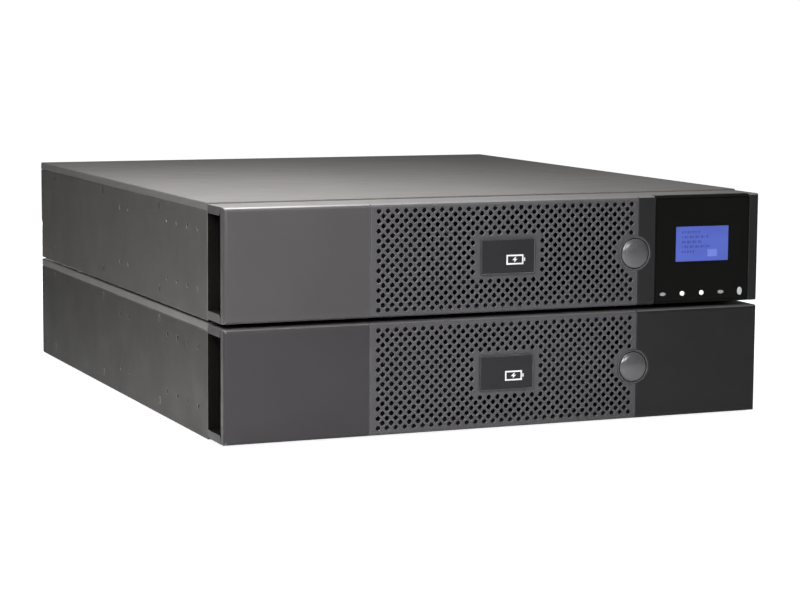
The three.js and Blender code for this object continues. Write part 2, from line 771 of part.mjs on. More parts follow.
function makeFanRotor() {
  const { y, carrier } = fanPlaces();
  const hub = [carrier[1] + rotorGap, y[1] - rotorSetback];
  let rotor = barY(fanX, middle, fanHub, hub, 20);
  rotor = rotor.add(barY(fanX, middle, shaftRadius, [carrier[0], hub[0] + past]));
  const reach = fanBore - fanTipGap - fanHub + fanBladeRoot;
  for (let i = 0; i < fanBlades; i += 1) {
    const blade = new THREE.BoxGeometry(reach, fanBladeThickness, fanBladeChord);
    blade.rotateX(fanBladePitch);
    blade.translate(fanHub - fanBladeRoot + reach / 2, 0, 0);
    blade.rotateY((i / fanBlades) * 2 * Math.PI);
    blade.translate(fanX, (hub[0] + hub[1]) / 2, middle);
    rotor = rotor.add(toSolid(blade));
  }
  return rotor;
}

// The body of a rear fitting: a plate on the outside of the panel and a box behind it
function fitting(x, z, width, height, depth) {
  const plate = block(around(x, width), [rearFace + clearance, fittingFace], around(z, height));
  return plate.add(block(around(x, width - 2 * fittingLip), [rearFace - depth - fittingWall, rearFace + past],
    around(z, height - 2 * fittingLip)));
}

function recess(x, z, size, depth) {
  return block(around(x, size[0]), [fittingFace - depth, fittingFace + past], around(z, size[1]));
}

function makeOutletBank(z) {
  let bank = fitting(bankX, z, bankWidth, bankHeight, outletDepth);
  const depth = outletDepth - outletFloor;
  for (let i = 0; i < outletsPerBank; i += 1) {
    const x = bankX + (i - (outletsPerBank - 1) / 2) * outletPitch;
    const island = block(around(x, outletIsland[0]), [fittingFace - depth - past, fittingFace],
      around(z, outletIsland[1]));
    bank = bank.subtract(recess(x, z, outletMouth, depth)).add(island);
    for (const [dx, dz] of outletContacts) {
      bank = bank.subtract(recess(x + dx, z + dz, outletContact, depth - outletContactFloor));
    }
  }
  return bank;
}

function makeInlet() {
  let inlet = fitting(inletX, inletZ, inletWidth, inletMouth[1] + 2 * fittingBorder, inletDepth);
  inlet = inlet.subtract(recess(inletX, inletZ, inletMouth, inletDepth));
  for (const [dx, dz] of inletPins) {
    inlet = inlet.add(block(around(inletX + dx, inletPin[0]),
      [fittingFace - inletDepth - past, fittingFace - pinInset], around(inletZ + dz, inletPin[1])));
  }
  return inlet;
}

function makeBatterySocket(x, z) {
  const socket = fitting(x, z, socketWidth, socketMouth[1] + 2 * fittingBorder, socketDepth);
  let open = socket.subtract(recess(x, z, socketMouth, socketDepth));
  for (const side of [-0.5, 0.5]) {
    open = open.add(block(around(x + side * socketPinPitch, socketPin[0]),
      [fittingFace - socketDepth - past, fittingFace - pinInset], around(z, socketPin[1])));
  }
  return open;
}

function makeResetButton() {
  return barY(inletX, resetZ, resetRadius, [fittingFace - resetLength, fittingFace], 16);
}

function makePorts() {
  let ports = fitting(portsX, portsZ, portBlockWidth, portBlockHeight, portDepth);
  for (const [dx, width, height] of portMouths) {
    ports = ports.subtract(recess(portsX + dx, portsZ, [width, height], portDepth));
  }
  return ports;
}

function makeCardCover() {
  const face = fittingFace - cardGripHeight;
  const plate = block(around(portsX, portBlockWidth), [rearFace + clearance, face],
    around(cardZ, cardHeight));
  return plate.add(block(around(portsX, cardGrip[0]), [face - cardGripHeight / 2, fittingFace],
    around(cardZ, cardGrip[1])));
}

function makeUpsRearPanel() {
  let panel = rearPlate();
  panel = panel.subtract(fittingCut(inletX, inletZ, inletWidth, inletMouth[1] + 2 * fittingBorder));
  const resetHole = [rearFace - sheet - past, rearFace + past];
  panel = panel.subtract(barY(inletX, resetZ, resetRadius + clearance, resetHole, 16));
  for (const z of bankHeights) panel = panel.subtract(fittingCut(bankX, z, bankWidth, bankHeight));
  panel = panel.subtract(fittingCut(socketX, middle, socketWidth, socketMouth[1] + 2 * fittingBorder));
  panel = panel.subtract(fittingCut(portsX, portsZ, portBlockWidth, portBlockHeight));
  const cardOpening = [portBlockWidth - 2 * cardBorder[0], cardHeight - 2 * cardBorder[1]];
  panel = panel.subtract(panelCut(portsX, cardZ, ...cardOpening));
  const slots = Math.floor(fanBore / guardPitch);
  for (let i = -slots; i <= slots; i += 1) {
    const reach = Math.sqrt(fanBore ** 2 - (i * guardPitch) ** 2) - guardRib;
    for (const side of [-1, 1]) {
      const slotX = fanX + (side * (reach + guardRib)) / 2;
      panel = panel.subtract(panelCut(slotX, middle + i * guardPitch, reach - guardRib, guardSlot));
    }
  }
  return panel;
}

function makeModuleRearPanel() {
  let panel = rearPlate();
  for (const x of moduleSockets) {
    panel = panel.subtract(fittingCut(x, middle, socketWidth, socketMouth[1] + 2 * fittingBorder));
  }
  for (let i = 0; i < moduleVents; i += 1) {
    const x = fanX + (i - (moduleVents - 1) / 2) * moduleVentPitch;
    panel = panel.subtract(panelCut(x, middle, ...moduleVentSize));
  }
  return panel;
}

function makeModuleSockets() {
  const [first, second] = moduleSockets;
  let bridge = block(moduleSockets, [rearFace + clearance, fittingFace], around(middle, moduleSocketBridge));
  for (const x of moduleSockets) bridge = bridge.subtract(recess(x, middle, socketMouth, socketDepth));
  return makeBatterySocket(first, middle).add(makeBatterySocket(second, middle)).add(bridge);
}

const object = new THREE.Group();

function addSharedPieces(unit, prefix, bays, hasDisplay, ventsFrom, underside) {
  addPiece(unit, `${prefix}_casing`, makeCasing(bays, ventsFrom), 'casingPaint');
  addPiece(unit, `${prefix}_top_cover`, makeTopCover(), 'coverPaint');
  addPiece(unit, `${prefix}_bezel`, makeBezel(hasDisplay), 'bezelPlastic');
  addPiece(unit, `${prefix}_front_frame`, makeFrontFrame(), 'bezelPlastic');
  addPiece(unit, `${prefix}_front_cover`, makeFrontCover(), 'bezelPlastic');
  addPiece(unit, `${prefix}_grille`, makeGrille(), 'grillePlastic');
  addPiece(unit, `${prefix}_badge`, makeBadge(), 'badgePlastic');
  addPiece(unit, `${prefix}_knob`, makeKnob(), 'bezelPlastic');
  addPiece(unit, `${prefix}_battery_door`, makeBatteryDoor(bays), 'casingPaint');
  addPiece(unit, `${prefix}_foot`, makeFoot(underside), 'rubber');
}

// Battery module below
const batteryModule = new THREE.Group();
batteryModule.position.z = footHeight;
addSharedPieces(batteryModule, 'ebm', 2, false, coverEdge + moduleVentGap, 0);
addPiece(batteryModule, 'ebm_rear_panel', makeModuleRearPanel(), 'casingPaint');
addPiece(batteryModule, 'ebm_sockets', makeModuleSockets(), 'socketPlastic');
addPiece(batteryModule, 'ebm_fuse_board', makeFuseBoard(), 'circuitBoard');
for (const [bay, side] of ['left', 'right'].entries()) {
  addPiece(batteryModule, `ebm_tray_${side}`, makeTray(bay), 'zincSteel');
  for (let i = 0; i < batteriesPerTray; i += 1) {
    addPiece(batteryModule, `ebm_battery_${side}_${i + 1}`, makeBattery(bay, i), 'batteryCase');
  }
}
object.add(batteryModule);

// Power unit above, its feet resting on the module's top cover
const powerUnit = new THREE.Group();
powerUnit.position.z = footHeight + casingHeight + footHeight;
addSharedPieces(powerUnit, 'ups', 1, true, electronicsLeft, clearance);
addPiece(powerUnit, 'ups_rear_panel', makeUpsRearPanel(), 'casingPaint');
addPiece(powerUnit, 'ups_tray', makeTray(0), 'zincSteel');
for (let i = 0; i < batteriesPerTray; i += 1) {
  addPiece(powerUnit, `ups_battery_${i + 1}`, makeBattery(0, i), 'batteryCase');
}
addPiece(powerUnit, 'ups_display_housing', makeDisplayHousing(), 'glossBlack');
addPiece(powerUnit, 'ups_display_glass', makeGlass(), 'glossBlack');
addPiece(powerUnit, 'ups_screen', makeScreen(), 'screenBlue');
addPiece(powerUnit, 'ups_control_board', makeControlBoard(), 'circuitBoard');
for (let i = 0; i < keys.length; i += 1) {
  addPiece(powerUnit, keys[i].name, keySolid(i, 0, [front - keyProud, front + keyLength]), 'keyLight');
}
addPiece(powerUnit, 'ups_power_board', makePowerBoard(), 'circuitBoard');
addPiece(powerUnit, 'ups_heatsink', makeHeatsink(), 'aluminium');
addPiece(powerUnit, 'ups_transformer', makeTransformer(), 'coreSteel');
addPiece(powerUnit, 'ups_fan_frame', makeFanFrame(), 'fanPlastic');
addPiece(powerUnit, 'ups_fan_rotor', makeFanRotor(), 'fanPlastic');
addPiece(powerUnit, 'ups_inlet', makeInlet(), 'socketPlastic');
addPiece(powerUnit, 'ups_outlets_lower', makeOutletBank(bankHeights[0]), 'socketPlastic');
addPiece(powerUnit, 'ups_outlets_upper', makeOutletBank(bankHeights[1]), 'socketPlastic');
addPiece(powerUnit, 'ups_battery_socket', makeBatterySocket(socketX, middle), 'socketPlastic');
addPiece(powerUnit, 'ups_ports', makePorts(), 'socketPlastic');
addPiece(powerUnit, 'ups_card_cover', makeCardCover(), 'casingPaint');
addPiece(powerUnit, 'ups_reset_button', makeResetButton(), 'buttonBlack');
object.add(powerUnit);

export default object;
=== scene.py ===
# A rack-height power supply standing on its battery module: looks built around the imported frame.
# Metres, the same frame as the CAD: +X is right, -Y is the front, +Z is up.
import math

import bmesh
import bpy
from mathutils import Matrix, Vector


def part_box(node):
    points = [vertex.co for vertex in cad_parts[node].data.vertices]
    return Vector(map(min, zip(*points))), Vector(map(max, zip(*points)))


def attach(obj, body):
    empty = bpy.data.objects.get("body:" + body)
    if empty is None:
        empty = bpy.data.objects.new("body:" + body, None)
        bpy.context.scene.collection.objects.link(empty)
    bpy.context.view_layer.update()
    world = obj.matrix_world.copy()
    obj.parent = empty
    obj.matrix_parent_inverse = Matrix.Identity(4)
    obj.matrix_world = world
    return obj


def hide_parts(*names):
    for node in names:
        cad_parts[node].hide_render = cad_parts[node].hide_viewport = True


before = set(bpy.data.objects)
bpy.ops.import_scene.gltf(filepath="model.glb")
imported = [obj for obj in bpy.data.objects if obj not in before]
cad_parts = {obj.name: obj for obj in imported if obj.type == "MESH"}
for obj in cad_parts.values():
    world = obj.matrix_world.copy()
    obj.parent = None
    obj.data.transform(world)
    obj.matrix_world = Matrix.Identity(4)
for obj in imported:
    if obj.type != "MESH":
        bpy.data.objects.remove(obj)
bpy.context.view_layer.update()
mm = 0.001
scene = bpy.context.scene
units = ("ups", "ebm")
nearby = 0.01 * mm                # places closer than this are the same place
weldGap = 0.02 * mm               # points of a frame node closer than this become one
flatTurn = math.radians(0.5)      # faces of a frame node that meet at less than this become one
facing = 0.9                      # how much of a normal must point one way for a face to face it
smallPartAngle = 50               # on small parts only edges sharper than this are softened, in degrees
noiseSpan = (0.3, 0.7)            # where most values of a noise texture lie
print("frame loaded:", len(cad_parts), "nodes")


def deselectAll():
    if bpy.context.object and bpy.context.object.mode != "OBJECT":
        bpy.ops.object.mode_set(mode="OBJECT")
    bpy.ops.object.select_all(action="DESELECT")


def makeActive(piece):
    deselectAll()
    piece.select_set(True)
    bpy.context.view_layer.objects.active = piece


def editMode(kind="FACE"):
    bpy.ops.object.mode_set(mode="EDIT")
    bpy.ops.mesh.select_mode(type=kind)
    bpy.ops.mesh.select_all(action="DESELECT")


def objectMode():
    bpy.ops.object.mode_set(mode="OBJECT")


def selectFaces(piece, test):
    mesh = bmesh.from_edit_mesh(piece.data)
    for face in mesh.faces:
        face.select_set(bool(test(face.calc_center_median(), face.normal)))
    bmesh.update_edit_mesh(piece.data)


def selectEdges(piece, test):
    mesh = bmesh.from_edit_mesh(piece.data)
    for edge in mesh.edges:
        edge.select_set(False)
    for edge in mesh.edges:
        a, b = (v.co for v in edge.verts)
        if test(a, b):
            edge.select_set(True)
    bmesh.update_edit_mesh(piece.data)


def selectPoints(piece, test):
    mesh = bmesh.from_edit_mesh(piece.data)
    for point in mesh.verts:
        point.select_set(bool(test(point.co)))
    mesh.select_flush_mode()
    bmesh.update_edit_mesh(piece.data)


def facesFront(centre, normal):
    return normal.y < -facing


def facesRear(centre, normal):
    return normal.y > facing


# ups_key_up becomes upsKeyUp
def camelName(node):
    words = node.split("_")
    return words[0] + "".join(word.capitalize() for word in words[1:])


def applyModifiers(piece):
    makeActive(piece)
    for modifier in list(piece.modifiers):
        bpy.ops.object.modifier_apply(modifier=modifier.name)


def settle(piece):
    makeActive(piece)
    bpy.ops.object.transform_apply(location=True, rotation=True, scale=True)


def addBlock(name, low, high):
    deselectAll()
    centre = (Vector(low) + Vector(high)) / 2
    bpy.ops.mesh.primitive_cube_add(size=1, location=centre)
    piece = bpy.context.object
    piece.name = name
    piece.scale = Vector(high) - Vector(low)
    settle(piece)
    return piece


# A round bar along an axis, with its middle at a place
def addBar(name, centre, radius, length, axis="Y", sides=48):
    turn = {"X": (0, math.pi / 2, 0), "Y": (math.pi / 2, 0, 0), "Z": (0, 0, 0)}[axis]
    deselectAll()
    bpy.ops.mesh.primitive_cylinder_add(vertices=sides, radius=radius, depth=length,
                                        location=centre, rotation=turn)
    piece = bpy.context.object
    piece.name = name
    settle(piece)
    return piece


# A copy of a frame node's mesh; faceted keeps its flat faces in triangles, for a plate full of holes
def copyNode(node, name, faceted=False):
    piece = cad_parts[node].copy()
    piece.data = piece.data.copy()
    piece.parent = None
    for key in list(piece.keys()):
        del piece[key]
    piece.name = name
    piece.data.name = name
    scene.collection.objects.link(piece)
    piece.data.materials.clear()
    makeActive(piece)
    bpy.ops.mesh.customdata_custom_splitnormals_clear()
    editMode("VERT")
    bpy.ops.mesh.select_all(action="SELECT")
    bpy.ops.mesh.remove_doubles(threshold=weldGap)
    if not faceted:
        bpy.ops.mesh.dissolve_limited(angle_limit=flatTurn)
    objectMode()
    return piece


def cutWith(piece, cutter, operation="DIFFERENCE"):
    makeActive(piece)
    modifier = piece.modifiers.new("cut", "BOOLEAN")
    modifier.operation = operation
    modifier.object = cutter
    modifier.solver = "EXACT"
    bpy.ops.object.modifier_apply(modifier=modifier.name)
    bpy.data.objects.remove(cutter)
    return piece


def joinPieces(pieces):
    deselectAll()
    for piece in pieces:
        piece.select_set(True)
    bpy.context.view_layer.objects.active = pieces[0]
    bpy.ops.object.join()
    return bpy.context.object


# Rounds the sharp edges; the narrow faces along them take the second material, the worn one
def softenEdges(piece, width, segments=2, angle=35, clamp=False):
    makeActive(piece)
    modifier = piece.modifiers.new("soften", "BEVEL")
    modifier.width = width
    modifier.segments = segments
    modifier.limit_method = "ANGLE"
    modifier.angle_limit = math.radians(angle)
    modifier.use_clamp_overlap = clamp
    modifier.miter_outer = "MITER_ARC"
    modifier.material = 1 if len(piece.data.materials) > 1 else -1
    bpy.ops.object.modifier_apply(modifier=modifier.name)
    return piece


# Smooth over the small faces only: the weights keep the broad faces flat
def shadeSmooth(piece, angle=32):
    makeActive(piece)
    bpy.ops.object.shade_smooth_by_angle(angle=math.radians(angle))
    weights = piece.modifiers.new("weights", "WEIGHTED_NORMAL")
    weights.weight = 60
    weights.keep_sharp = True
    bpy.ops.object.modifier_apply(modifier=weights.name)


def paint(piece, *materials):
    piece.data.materials.clear()
    for material in materials:
        piece.data.materials.append(material)


# Gives the faces that pass a test a finish of their own
def paintFaces(piece, material, test):
    piece.data.materials.append(material)
    index = len(piece.data.materials) - 1
    for face in piece.data.polygons:
        if test(face.center, face.normal):
            face.material_index = index


def place(piece, body, slotName, *nodes):
    shadeSmooth(piece)
    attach(piece, body)
    if nodes:
        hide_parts(*nodes)
    return piece


def newMaterial(name):
    material = bpy.data.materials.new(name)
    material.use_nodes = True
    nodes = material.node_tree.nodes
    return material, nodes, material.node_tree.links, nodes["Principled BSDF"]


def addNoise(nodes, links, spot, scale, detail):
    noise = nodes.new("ShaderNodeTexNoise")
    noise.inputs["Scale"].default_value = scale
    noise.inputs["Detail"].default_value = detail
    links.new(spot, noise.inputs["Vector"])
    return noise.outputs["Fac"]


# Colour that drifts over the piece, a roughness that breaks up, and a fine grain in the surface
def surfaceFinish(name, look):
    material, nodes, links, shader = newMaterial(name)
    place3d = nodes.new("ShaderNodeTexCoord")
    stretch = nodes.new("ShaderNodeMapping")
    stretch.inputs["Scale"].default_value = look.get("stretch", (1, 1, 1))
    links.new(place3d.outputs["Object"], stretch.inputs["Vector"])
    spot = stretch.outputs["Vector"]
    tones = nodes.new("ShaderNodeValToRGB")
    for element, position, tone in zip(tones.color_ramp.elements, noiseSpan, (look["dark"], look["light"])):
        element.position = position
        element.color = (*tone, 1)
    links.new(addNoise(nodes, links, spot, look["driftScale"], 4), tones.inputs["Fac"])
    links.new(tones.outputs["Color"], shader.inputs["Base Color"])
    gloss = nodes.new("ShaderNodeMapRange")
    gloss.inputs["From Min"].default_value, gloss.inputs["From Max"].default_value = noiseSpan
    gloss.inputs["To Min"].default_value = look["roughness"] - look["roughSpread"]
    gloss.inputs["To Max"].default_value = look["roughness"] + look["roughSpread"]
    links.new(addNoise(nodes, links, spot, look["smudgeScale"], 6), gloss.inputs["Value"])
    links.new(gloss.outputs["Result"], shader.inputs["Roughness"])
    bump = nodes.new("ShaderNodeBump")
    bump.inputs["Strength"].default_value = look["grainStrength"]
    bump.inputs["Distance"].default_value = look.get("grainDepth", 0.05 * mm)
    links.new(addNoise(nodes, links, spot, look["grainScale"], 2), bump.inputs["Height"])
    links.new(bump.outputs["Normal"], shader.inputs["Normal"])
    shader.inputs["Metallic"].default_value = look.get("metallic", 0)
    shader.inputs["Specular IOR Level"].default_value = look.get("specular", 0.5)
    shader.inputs["Coat Weight"].default_value = look.get("coat", 0)
    shader.inputs["Coat Roughness"].default_value = look.get("coatRoughness", 0.1)
    return material


casingLook = {
    "dark": (0.032, 0.0295, 0.0275), "light": (0.036, 0.0335, 0.0312), "driftScale": 9, "smudgeScale": 34,
    "roughness": 0.52, "roughSpread": 0.04, "grainScale": 900, "grainStrength": 0.3, "specular": 0.22,
}
coverLook = dict(casingLook, dark=(0.068, 0.065, 0.063), light=(0.076, 0.073, 0.071),
                 roughness=0.42, specular=0.3)
wornPaintLook = dict(casingLook, dark=(0.06, 0.057, 0.054), light=(0.115, 0.11, 0.104),
                     driftScale=60, roughness=0.38)
mouldingLook = {
    "dark": (0.03, 0.0275, 0.029), "light": (0.034, 0.0315, 0.033), "driftScale": 14, "smudgeScale": 50,
    "roughness": 0.45, "roughSpread": 0.04, "grainScale": 1400, "grainStrength": 0.35, "specular": 0.2,
}
wornMouldingLook = dict(mouldingLook, dark=(0.06, 0.058, 0.06), light=(0.095, 0.092, 0.094),
                        driftScale=90, roughness=0.36)
grilleLook = dict(mouldingLook, dark=(0.034, 0.033, 0.036), light=(0.04, 0.039, 0.042))
badgeLook = dict(mouldingLook, dark=(0.0095, 0.0093, 0.0108), light=(0.0125, 0.0123, 0.014),
                 grainStrength=0.15, specular=0.12)
knobLook = dict(mouldingLook, dark=(0.036, 0.036, 0.039), light=(0.042, 0.042, 0.045),
                roughness=0.24, grainStrength=0.1, specular=0.6)
endLook = dict(mouldingLook, dark=(0.0085, 0.0085, 0.009), light=(0.011, 0.011, 0.0115), specular=0.12)
# the battery door: dark paint, made far darker than the casing paint as painted shade seen through the
# grille
doorShadeLook = dict(casingLook, dark=(0.007, 0.0067, 0.0064), light=(0.0095, 0.0091, 0.0087), specular=0.08)
# near black: painted shade for the faces inside the finger slots and behind the grille
slotShadeLook = dict(mouldingLook, dark=(0.003, 0.0026, 0.0024), light=(0.0045, 0.004, 0.0036), specular=0.04)
wornEndLook = dict(endLook, dark=(0.015, 0.015, 0.016), light=(0.026, 0.026, 0.027), driftScale=90)
# lighter than the moulding: a painted highlight along the rolled top of the fronts
frontTopHighlightLook = dict(mouldingLook, dark=(0.075, 0.072, 0.071), light=(0.083, 0.08, 0.079),
                    roughness=0.4, specular=0.35)
# darker copies of the casing paint and the moulding for the lower unit: painted shade, as less light reaches
# it
moduleCasingShadedLook = dict(casingLook, dark=(0.0185, 0.0172, 0.0162), light=(0.0212, 0.0197, 0.0185),
                        specular=0.12)
moduleMouldingShadedLook = dict(mouldingLook, dark=(0.0195, 0.018, 0.0192), light=(0.0225, 0.021, 0.0222),
                          specular=0.14)
glossLook = {
    "dark": (0.0035, 0.0038, 0.0034), "light": (0.0045, 0.0048, 0.0044), "driftScale": 8, "smudgeScale": 22,
    "roughness": 0.12, "roughSpread": 0.03, "grainScale": 400, "grainStrength": 0.01, "specular": 0.02,
}
zincLook = {
    "dark": (0.24, 0.245, 0.25), "light": (0.34, 0.345, 0.35), "driftScale": 40, "smudgeScale": 110,
    "roughness": 0.38, "roughSpread": 0.1, "grainScale": 700, "grainStrength": 0.12, "metallic": 0.9,
}
wornZincLook = dict(zincLook, dark=(0.34, 0.34, 0.34), light=(0.48, 0.48, 0.47), roughness=0.28)
rubberLook = {
    "dark": (0.011, 0.011, 0.011), "light": (0.02, 0.02, 0.019), "driftScale": 60, "smudgeScale": 160,
    "roughness": 0.82, "roughSpread": 0.08, "grainScale": 1300, "grainStrength": 0.5, "specular": 0.25,
}
batteryLook = {
    "dark": (0.05, 0.053, 0.058), "light": (0.062, 0.066, 0.071), "driftScale": 22, "smudgeScale": 80,
    "roughness": 0.52, "roughSpread": 0.07, "grainScale": 800, "grainStrength": 0.35, "specular": 0.4,
}
wornBatteryLook = dict(batteryLook, dark=(0.08, 0.083, 0.088), light=(0.11, 0.114, 0.12))
boardLook = {
    "dark": (0.012, 0.07, 0.03), "light": (0.018, 0.1, 0.042), "driftScale": 120, "smudgeScale": 300,
    "roughness": 0.36, "roughSpread": 0.1, "grainScale": 1800, "grainStrength": 0.3,
}
finLook = {
    "dark": (0.5, 0.51, 0.52), "light": (0.62, 0.63, 0.64), "driftScale": 30, "smudgeScale": 90,
    "stretch": (1, 0.08, 1), "roughness": 0.36, "roughSpread": 0.08,
    "grainScale": 900, "grainStrength": 0.25, "metallic": 1,
}
coreLook = {
    "dark": (0.06, 0.062, 0.066), "light": (0.11, 0.112, 0.118), "driftScale": 60, "smudgeScale": 120,
    "stretch": (6, 0.2, 0.2), "roughness": 0.45, "roughSpread": 0.1,
    "grainScale": 300, "grainStrength": 0.5, "metallic": 0.7,
}
socketLook = {
    "dark": (0.011, 0.011, 0.012), "light": (0.017, 0.017, 0.018), "driftScale": 40, "smudgeScale": 120,
    "roughness": 0.42, "roughSpread": 0.07, "grainScale": 1200, "grainStrength": 0.3, "specular": 0.4,
}
wornSocketLook = dict(socketLook, dark=(0.02, 0.02, 0.021), light=(0.04, 0.04, 0.042), roughness=0.34)
fanLook = dict(socketLook, dark=(0.014, 0.014, 0.015), light=(0.02, 0.02, 0.022), roughness=0.5)
brassLook = {
    "dark": (0.5, 0.4, 0.22), "light": (0.66, 0.53, 0.3), "driftScale": 200, "smudgeScale": 300,
    "roughness": 0.3, "roughSpread": 0.08, "grainScale": 900, "grainStrength": 0.1, "metallic": 1,
}
screwLook = dict(zincLook, dark=(0.02, 0.02, 0.02), light=(0.035, 0.035, 0.034), roughness=0.4, metallic=0.6)
markLook = {
    "dark": (0.42, 0.42, 0.43), "light": (0.5, 0.5, 0.51), "driftScale": 80, "smudgeScale": 300,
    "roughness": 0.4, "roughSpread": 0.06, "grainScale": 1500, "grainStrength": 0.1,
}

casingPaint = surfaceFinish("casingPaint", casingLook)
coverPaint = surfaceFinish("coverPaint", coverLook)
wornPaint = surfaceFinish("wornPaint", wornPaintLook)
moulding = surfaceFinish("moulding", mouldingLook)
wornMoulding = surfaceFinish("wornMoulding", wornMouldingLook)
grillePlastic = surfaceFinish("grillePlastic", grilleLook)
badgePlastic = surfaceFinish("badgePlastic", badgeLook)
knobPlastic = surfaceFinish("knobPlastic", knobLook)
endPlastic = surfaceFinish("endPlastic", endLook)
wornEnd = surfaceFinish("wornEnd", wornEndLook)
paintedSlotShade = surfaceFinish("paintedSlotShade", slotShadeLook)
doorPaint = surfaceFinish("doorPaint", doorShadeLook)
frontTopHighlight = surfaceFinish("frontTopHighlight", frontTopHighlightLook)
moduleCasingShaded = surfaceFinish("moduleCasingShaded", moduleCasingShadedLook)
moduleMouldingShaded = surfaceFinish("moduleMouldingShaded", moduleMouldingShadedLook)
glossBlack = surfaceFinish("glossBlack", glossLook)
zincPlate = surfaceFinish("zincPlate", zincLook)
wornZinc = surfaceFinish("wornZinc", wornZincLook)
rubber = surfaceFinish("rubber", rubberLook)
batteryShell = surfaceFinish("batteryShell", batteryLook)
wornBattery = surfaceFinish("wornBattery", wornBatteryLook)
boardGreen = surfaceFinish("boardGreen", boardLook)
finMetal = surfaceFinish("finMetal", finLook)
coreSteel = surfaceFinish("coreSteel", coreLook)
socketPlastic = surfaceFinish("socketPlastic", socketLook)
wornSocket = surfaceFinish("wornSocket", wornSocketLook)
fanPlastic = surfaceFinish("fanPlastic", fanLook)
brass = surfaceFinish("brass", brassLook)
screwSteel = surfaceFinish("screwSteel", screwLook)
markGrey = surfaceFinish("markGrey", markLook)


# A lit finish: the glow is a number on the shader itself
def litFinish(name, look, glow, strength):
    material = surfaceFinish(name, look)
    shader = material.node_tree.nodes["Principled BSDF"]
    shader.inputs["Emission Color"].default_value = (*glow, 1)
    shader.inputs["Emission Strength"].default_value = strength
    return material


screenLook = {
    "dark": (0.03, 0.05, 0.22), "light": (0.036, 0.06, 0.26), "driftScale": 60, "smudgeScale": 90,
    "roughness": 0.22, "roughSpread": 0.04, "grainScale": 2500, "grainStrength": 0.05, "specular": 0.3,
}
inkLook = dict(screenLook, dark=(0.02, 0.03, 0.13), light=(0.025, 0.036, 0.15))
keyLook = dict(markLook, dark=(0.5, 0.5, 0.5), light=(0.6, 0.6, 0.6))
screenBlue = litFinish("screenBlue", screenLook, (0.09, 0.1, 0.3), 0.36)
screenInk = litFinish("screenInk", inkLook, (0.05, 0.07, 0.29), 0.34)
screenPale = litFinish("screenPale", screenLook, (0.24, 0.3, 0.62), 0.42)
# the up and down keys glow though they hold no lamp: a painted highlight
keyBright = litFinish("keyBright", keyLook, (0.8, 0.82, 0.82), 0.35)
keyDim = surfaceFinish("keyDim", dict(keyLook, dark=(0.16, 0.165, 0.16), light=(0.2, 0.205, 0.2)))
keyGrey = surfaceFinish("keyGrey", dict(keyLook, dark=(0.26, 0.27, 0.27), light=(0.31, 0.32, 0.32)))
print("finishes made")


cameraView = {
    "place": (-0.75145, -1.82794, 0.31120),
    "turn": math.radians(23.028),   # to the right of straight ahead
    "dip": math.radians(6.961),
    "roll": math.radians(0.385),
    "lens": 105.253, "sensor": 36, "nearest": 0.05, "farthest": 200,
}
# name: (place, size, power, target)
softLights = {
    "keyLight": ((-0.6, -1.0, 0.62), 0.35, 16, (-0.15, -0.2, 0.09)),
    "frontLight": ((-0.15, -2.4, 1.0), 0.6, 22, (-0.05, -0.26, 0.09)),
    "topLight": ((-0.2, -0.2, 0.55), 0.35, 10, (-0.2, -0.1, 0)),
    "rearLight": ((0.25, 1.6, 0.085), 0.16, 12, (0, 0.25, 0.08)),   # low, so that the top doesn't mirror it
}
floorPlan = {
    "radius": 9, "sides": 96, "rimHeight": 0.45, "tone": 0.75, "roughness": 0.85,
    "glow": 0.95, "bounce": 0.1,    # how bright it looks, and how much light it throws back up
}
skyStrength = 0.1


def makeCamera(view):
    camera = bpy.data.objects.new("camera", bpy.data.cameras.new("camera"))
    scene.collection.objects.link(camera)
    turn, dip, roll = view["turn"], view["dip"], view["roll"]
    ahead = Vector((math.sin(turn) * math.cos(dip), math.cos(turn) * math.cos(dip), -math.sin(dip)))
    across = Vector((math.cos(turn), -math.sin(turn), 0))
    up = across.cross(ahead)
    right = across * math.cos(roll) + up * math.sin(roll)
    above = up * math.cos(roll) - across * math.sin(roll)
    aim = Matrix((right, above, -ahead)).transposed().to_4x4()
    camera.matrix_world = Matrix.Translation(view["place"]) @ aim
    camera.data.lens = view["lens"]
    camera.data.sensor_width = view["sensor"]
    camera.data.clip_start = view["nearest"]
    camera.data.clip_end = view["farthest"]
    scene.camera = camera


def addSoftLight(name, spot, size, power, target):
    light = bpy.data.lights.new(name, "AREA")
    light.shape = "SQUARE"
    light.size = size
    light.energy = power
    lamp = bpy.data.objects.new(name, light)
    scene.collection.objects.link(lamp)
    lamp.location = spot
    lamp.rotation_euler = (Vector(target) - Vector(spot)).to_track_quat("-Z", "Y").to_euler()
    lamp.visible_camera = False


# A round pale floor whose rim turns up a little, so that it meets the eye all the way to the back
def makeFloor(plan):
    deselectAll()
    bpy.ops.mesh.primitive_circle_add(vertices=plan["sides"], radius=plan["radius"], fill_type="NGON",
                                      location=(0, 0, 0))
    floor = bpy.context.object
    floor.name = "floor"
    editMode("EDGE")
    selectEdges(floor, lambda a, b: True)
    bpy.ops.mesh.extrude_edges_move(TRANSFORM_OT_translate={"value": (0, 0, plan["rimHeight"])})
    objectMode()
    material, nodes, links, shader = newMaterial("paleFloor")
    shader.inputs["Base Color"].default_value = (plan["tone"],) * 3 + (1,)
    shader.inputs["Roughness"].default_value = plan["roughness"]
    shader.inputs["Emission Color"].default_value = (1, 1, 1, 1)
    path = nodes.new("ShaderNodeLightPath")
    glow = nodes.new("ShaderNodeMapRange")
    glow.inputs["To Min"].default_value = plan["bounce"]
    glow.inputs["To Max"].default_value = plan["glow"]
    links.new(path.outputs["Is Camera Ray"], glow.inputs["Value"])
    links.new(glow.outputs["Result"], shader.inputs["Emission Strength"])
    floor.data.materials.append(material)


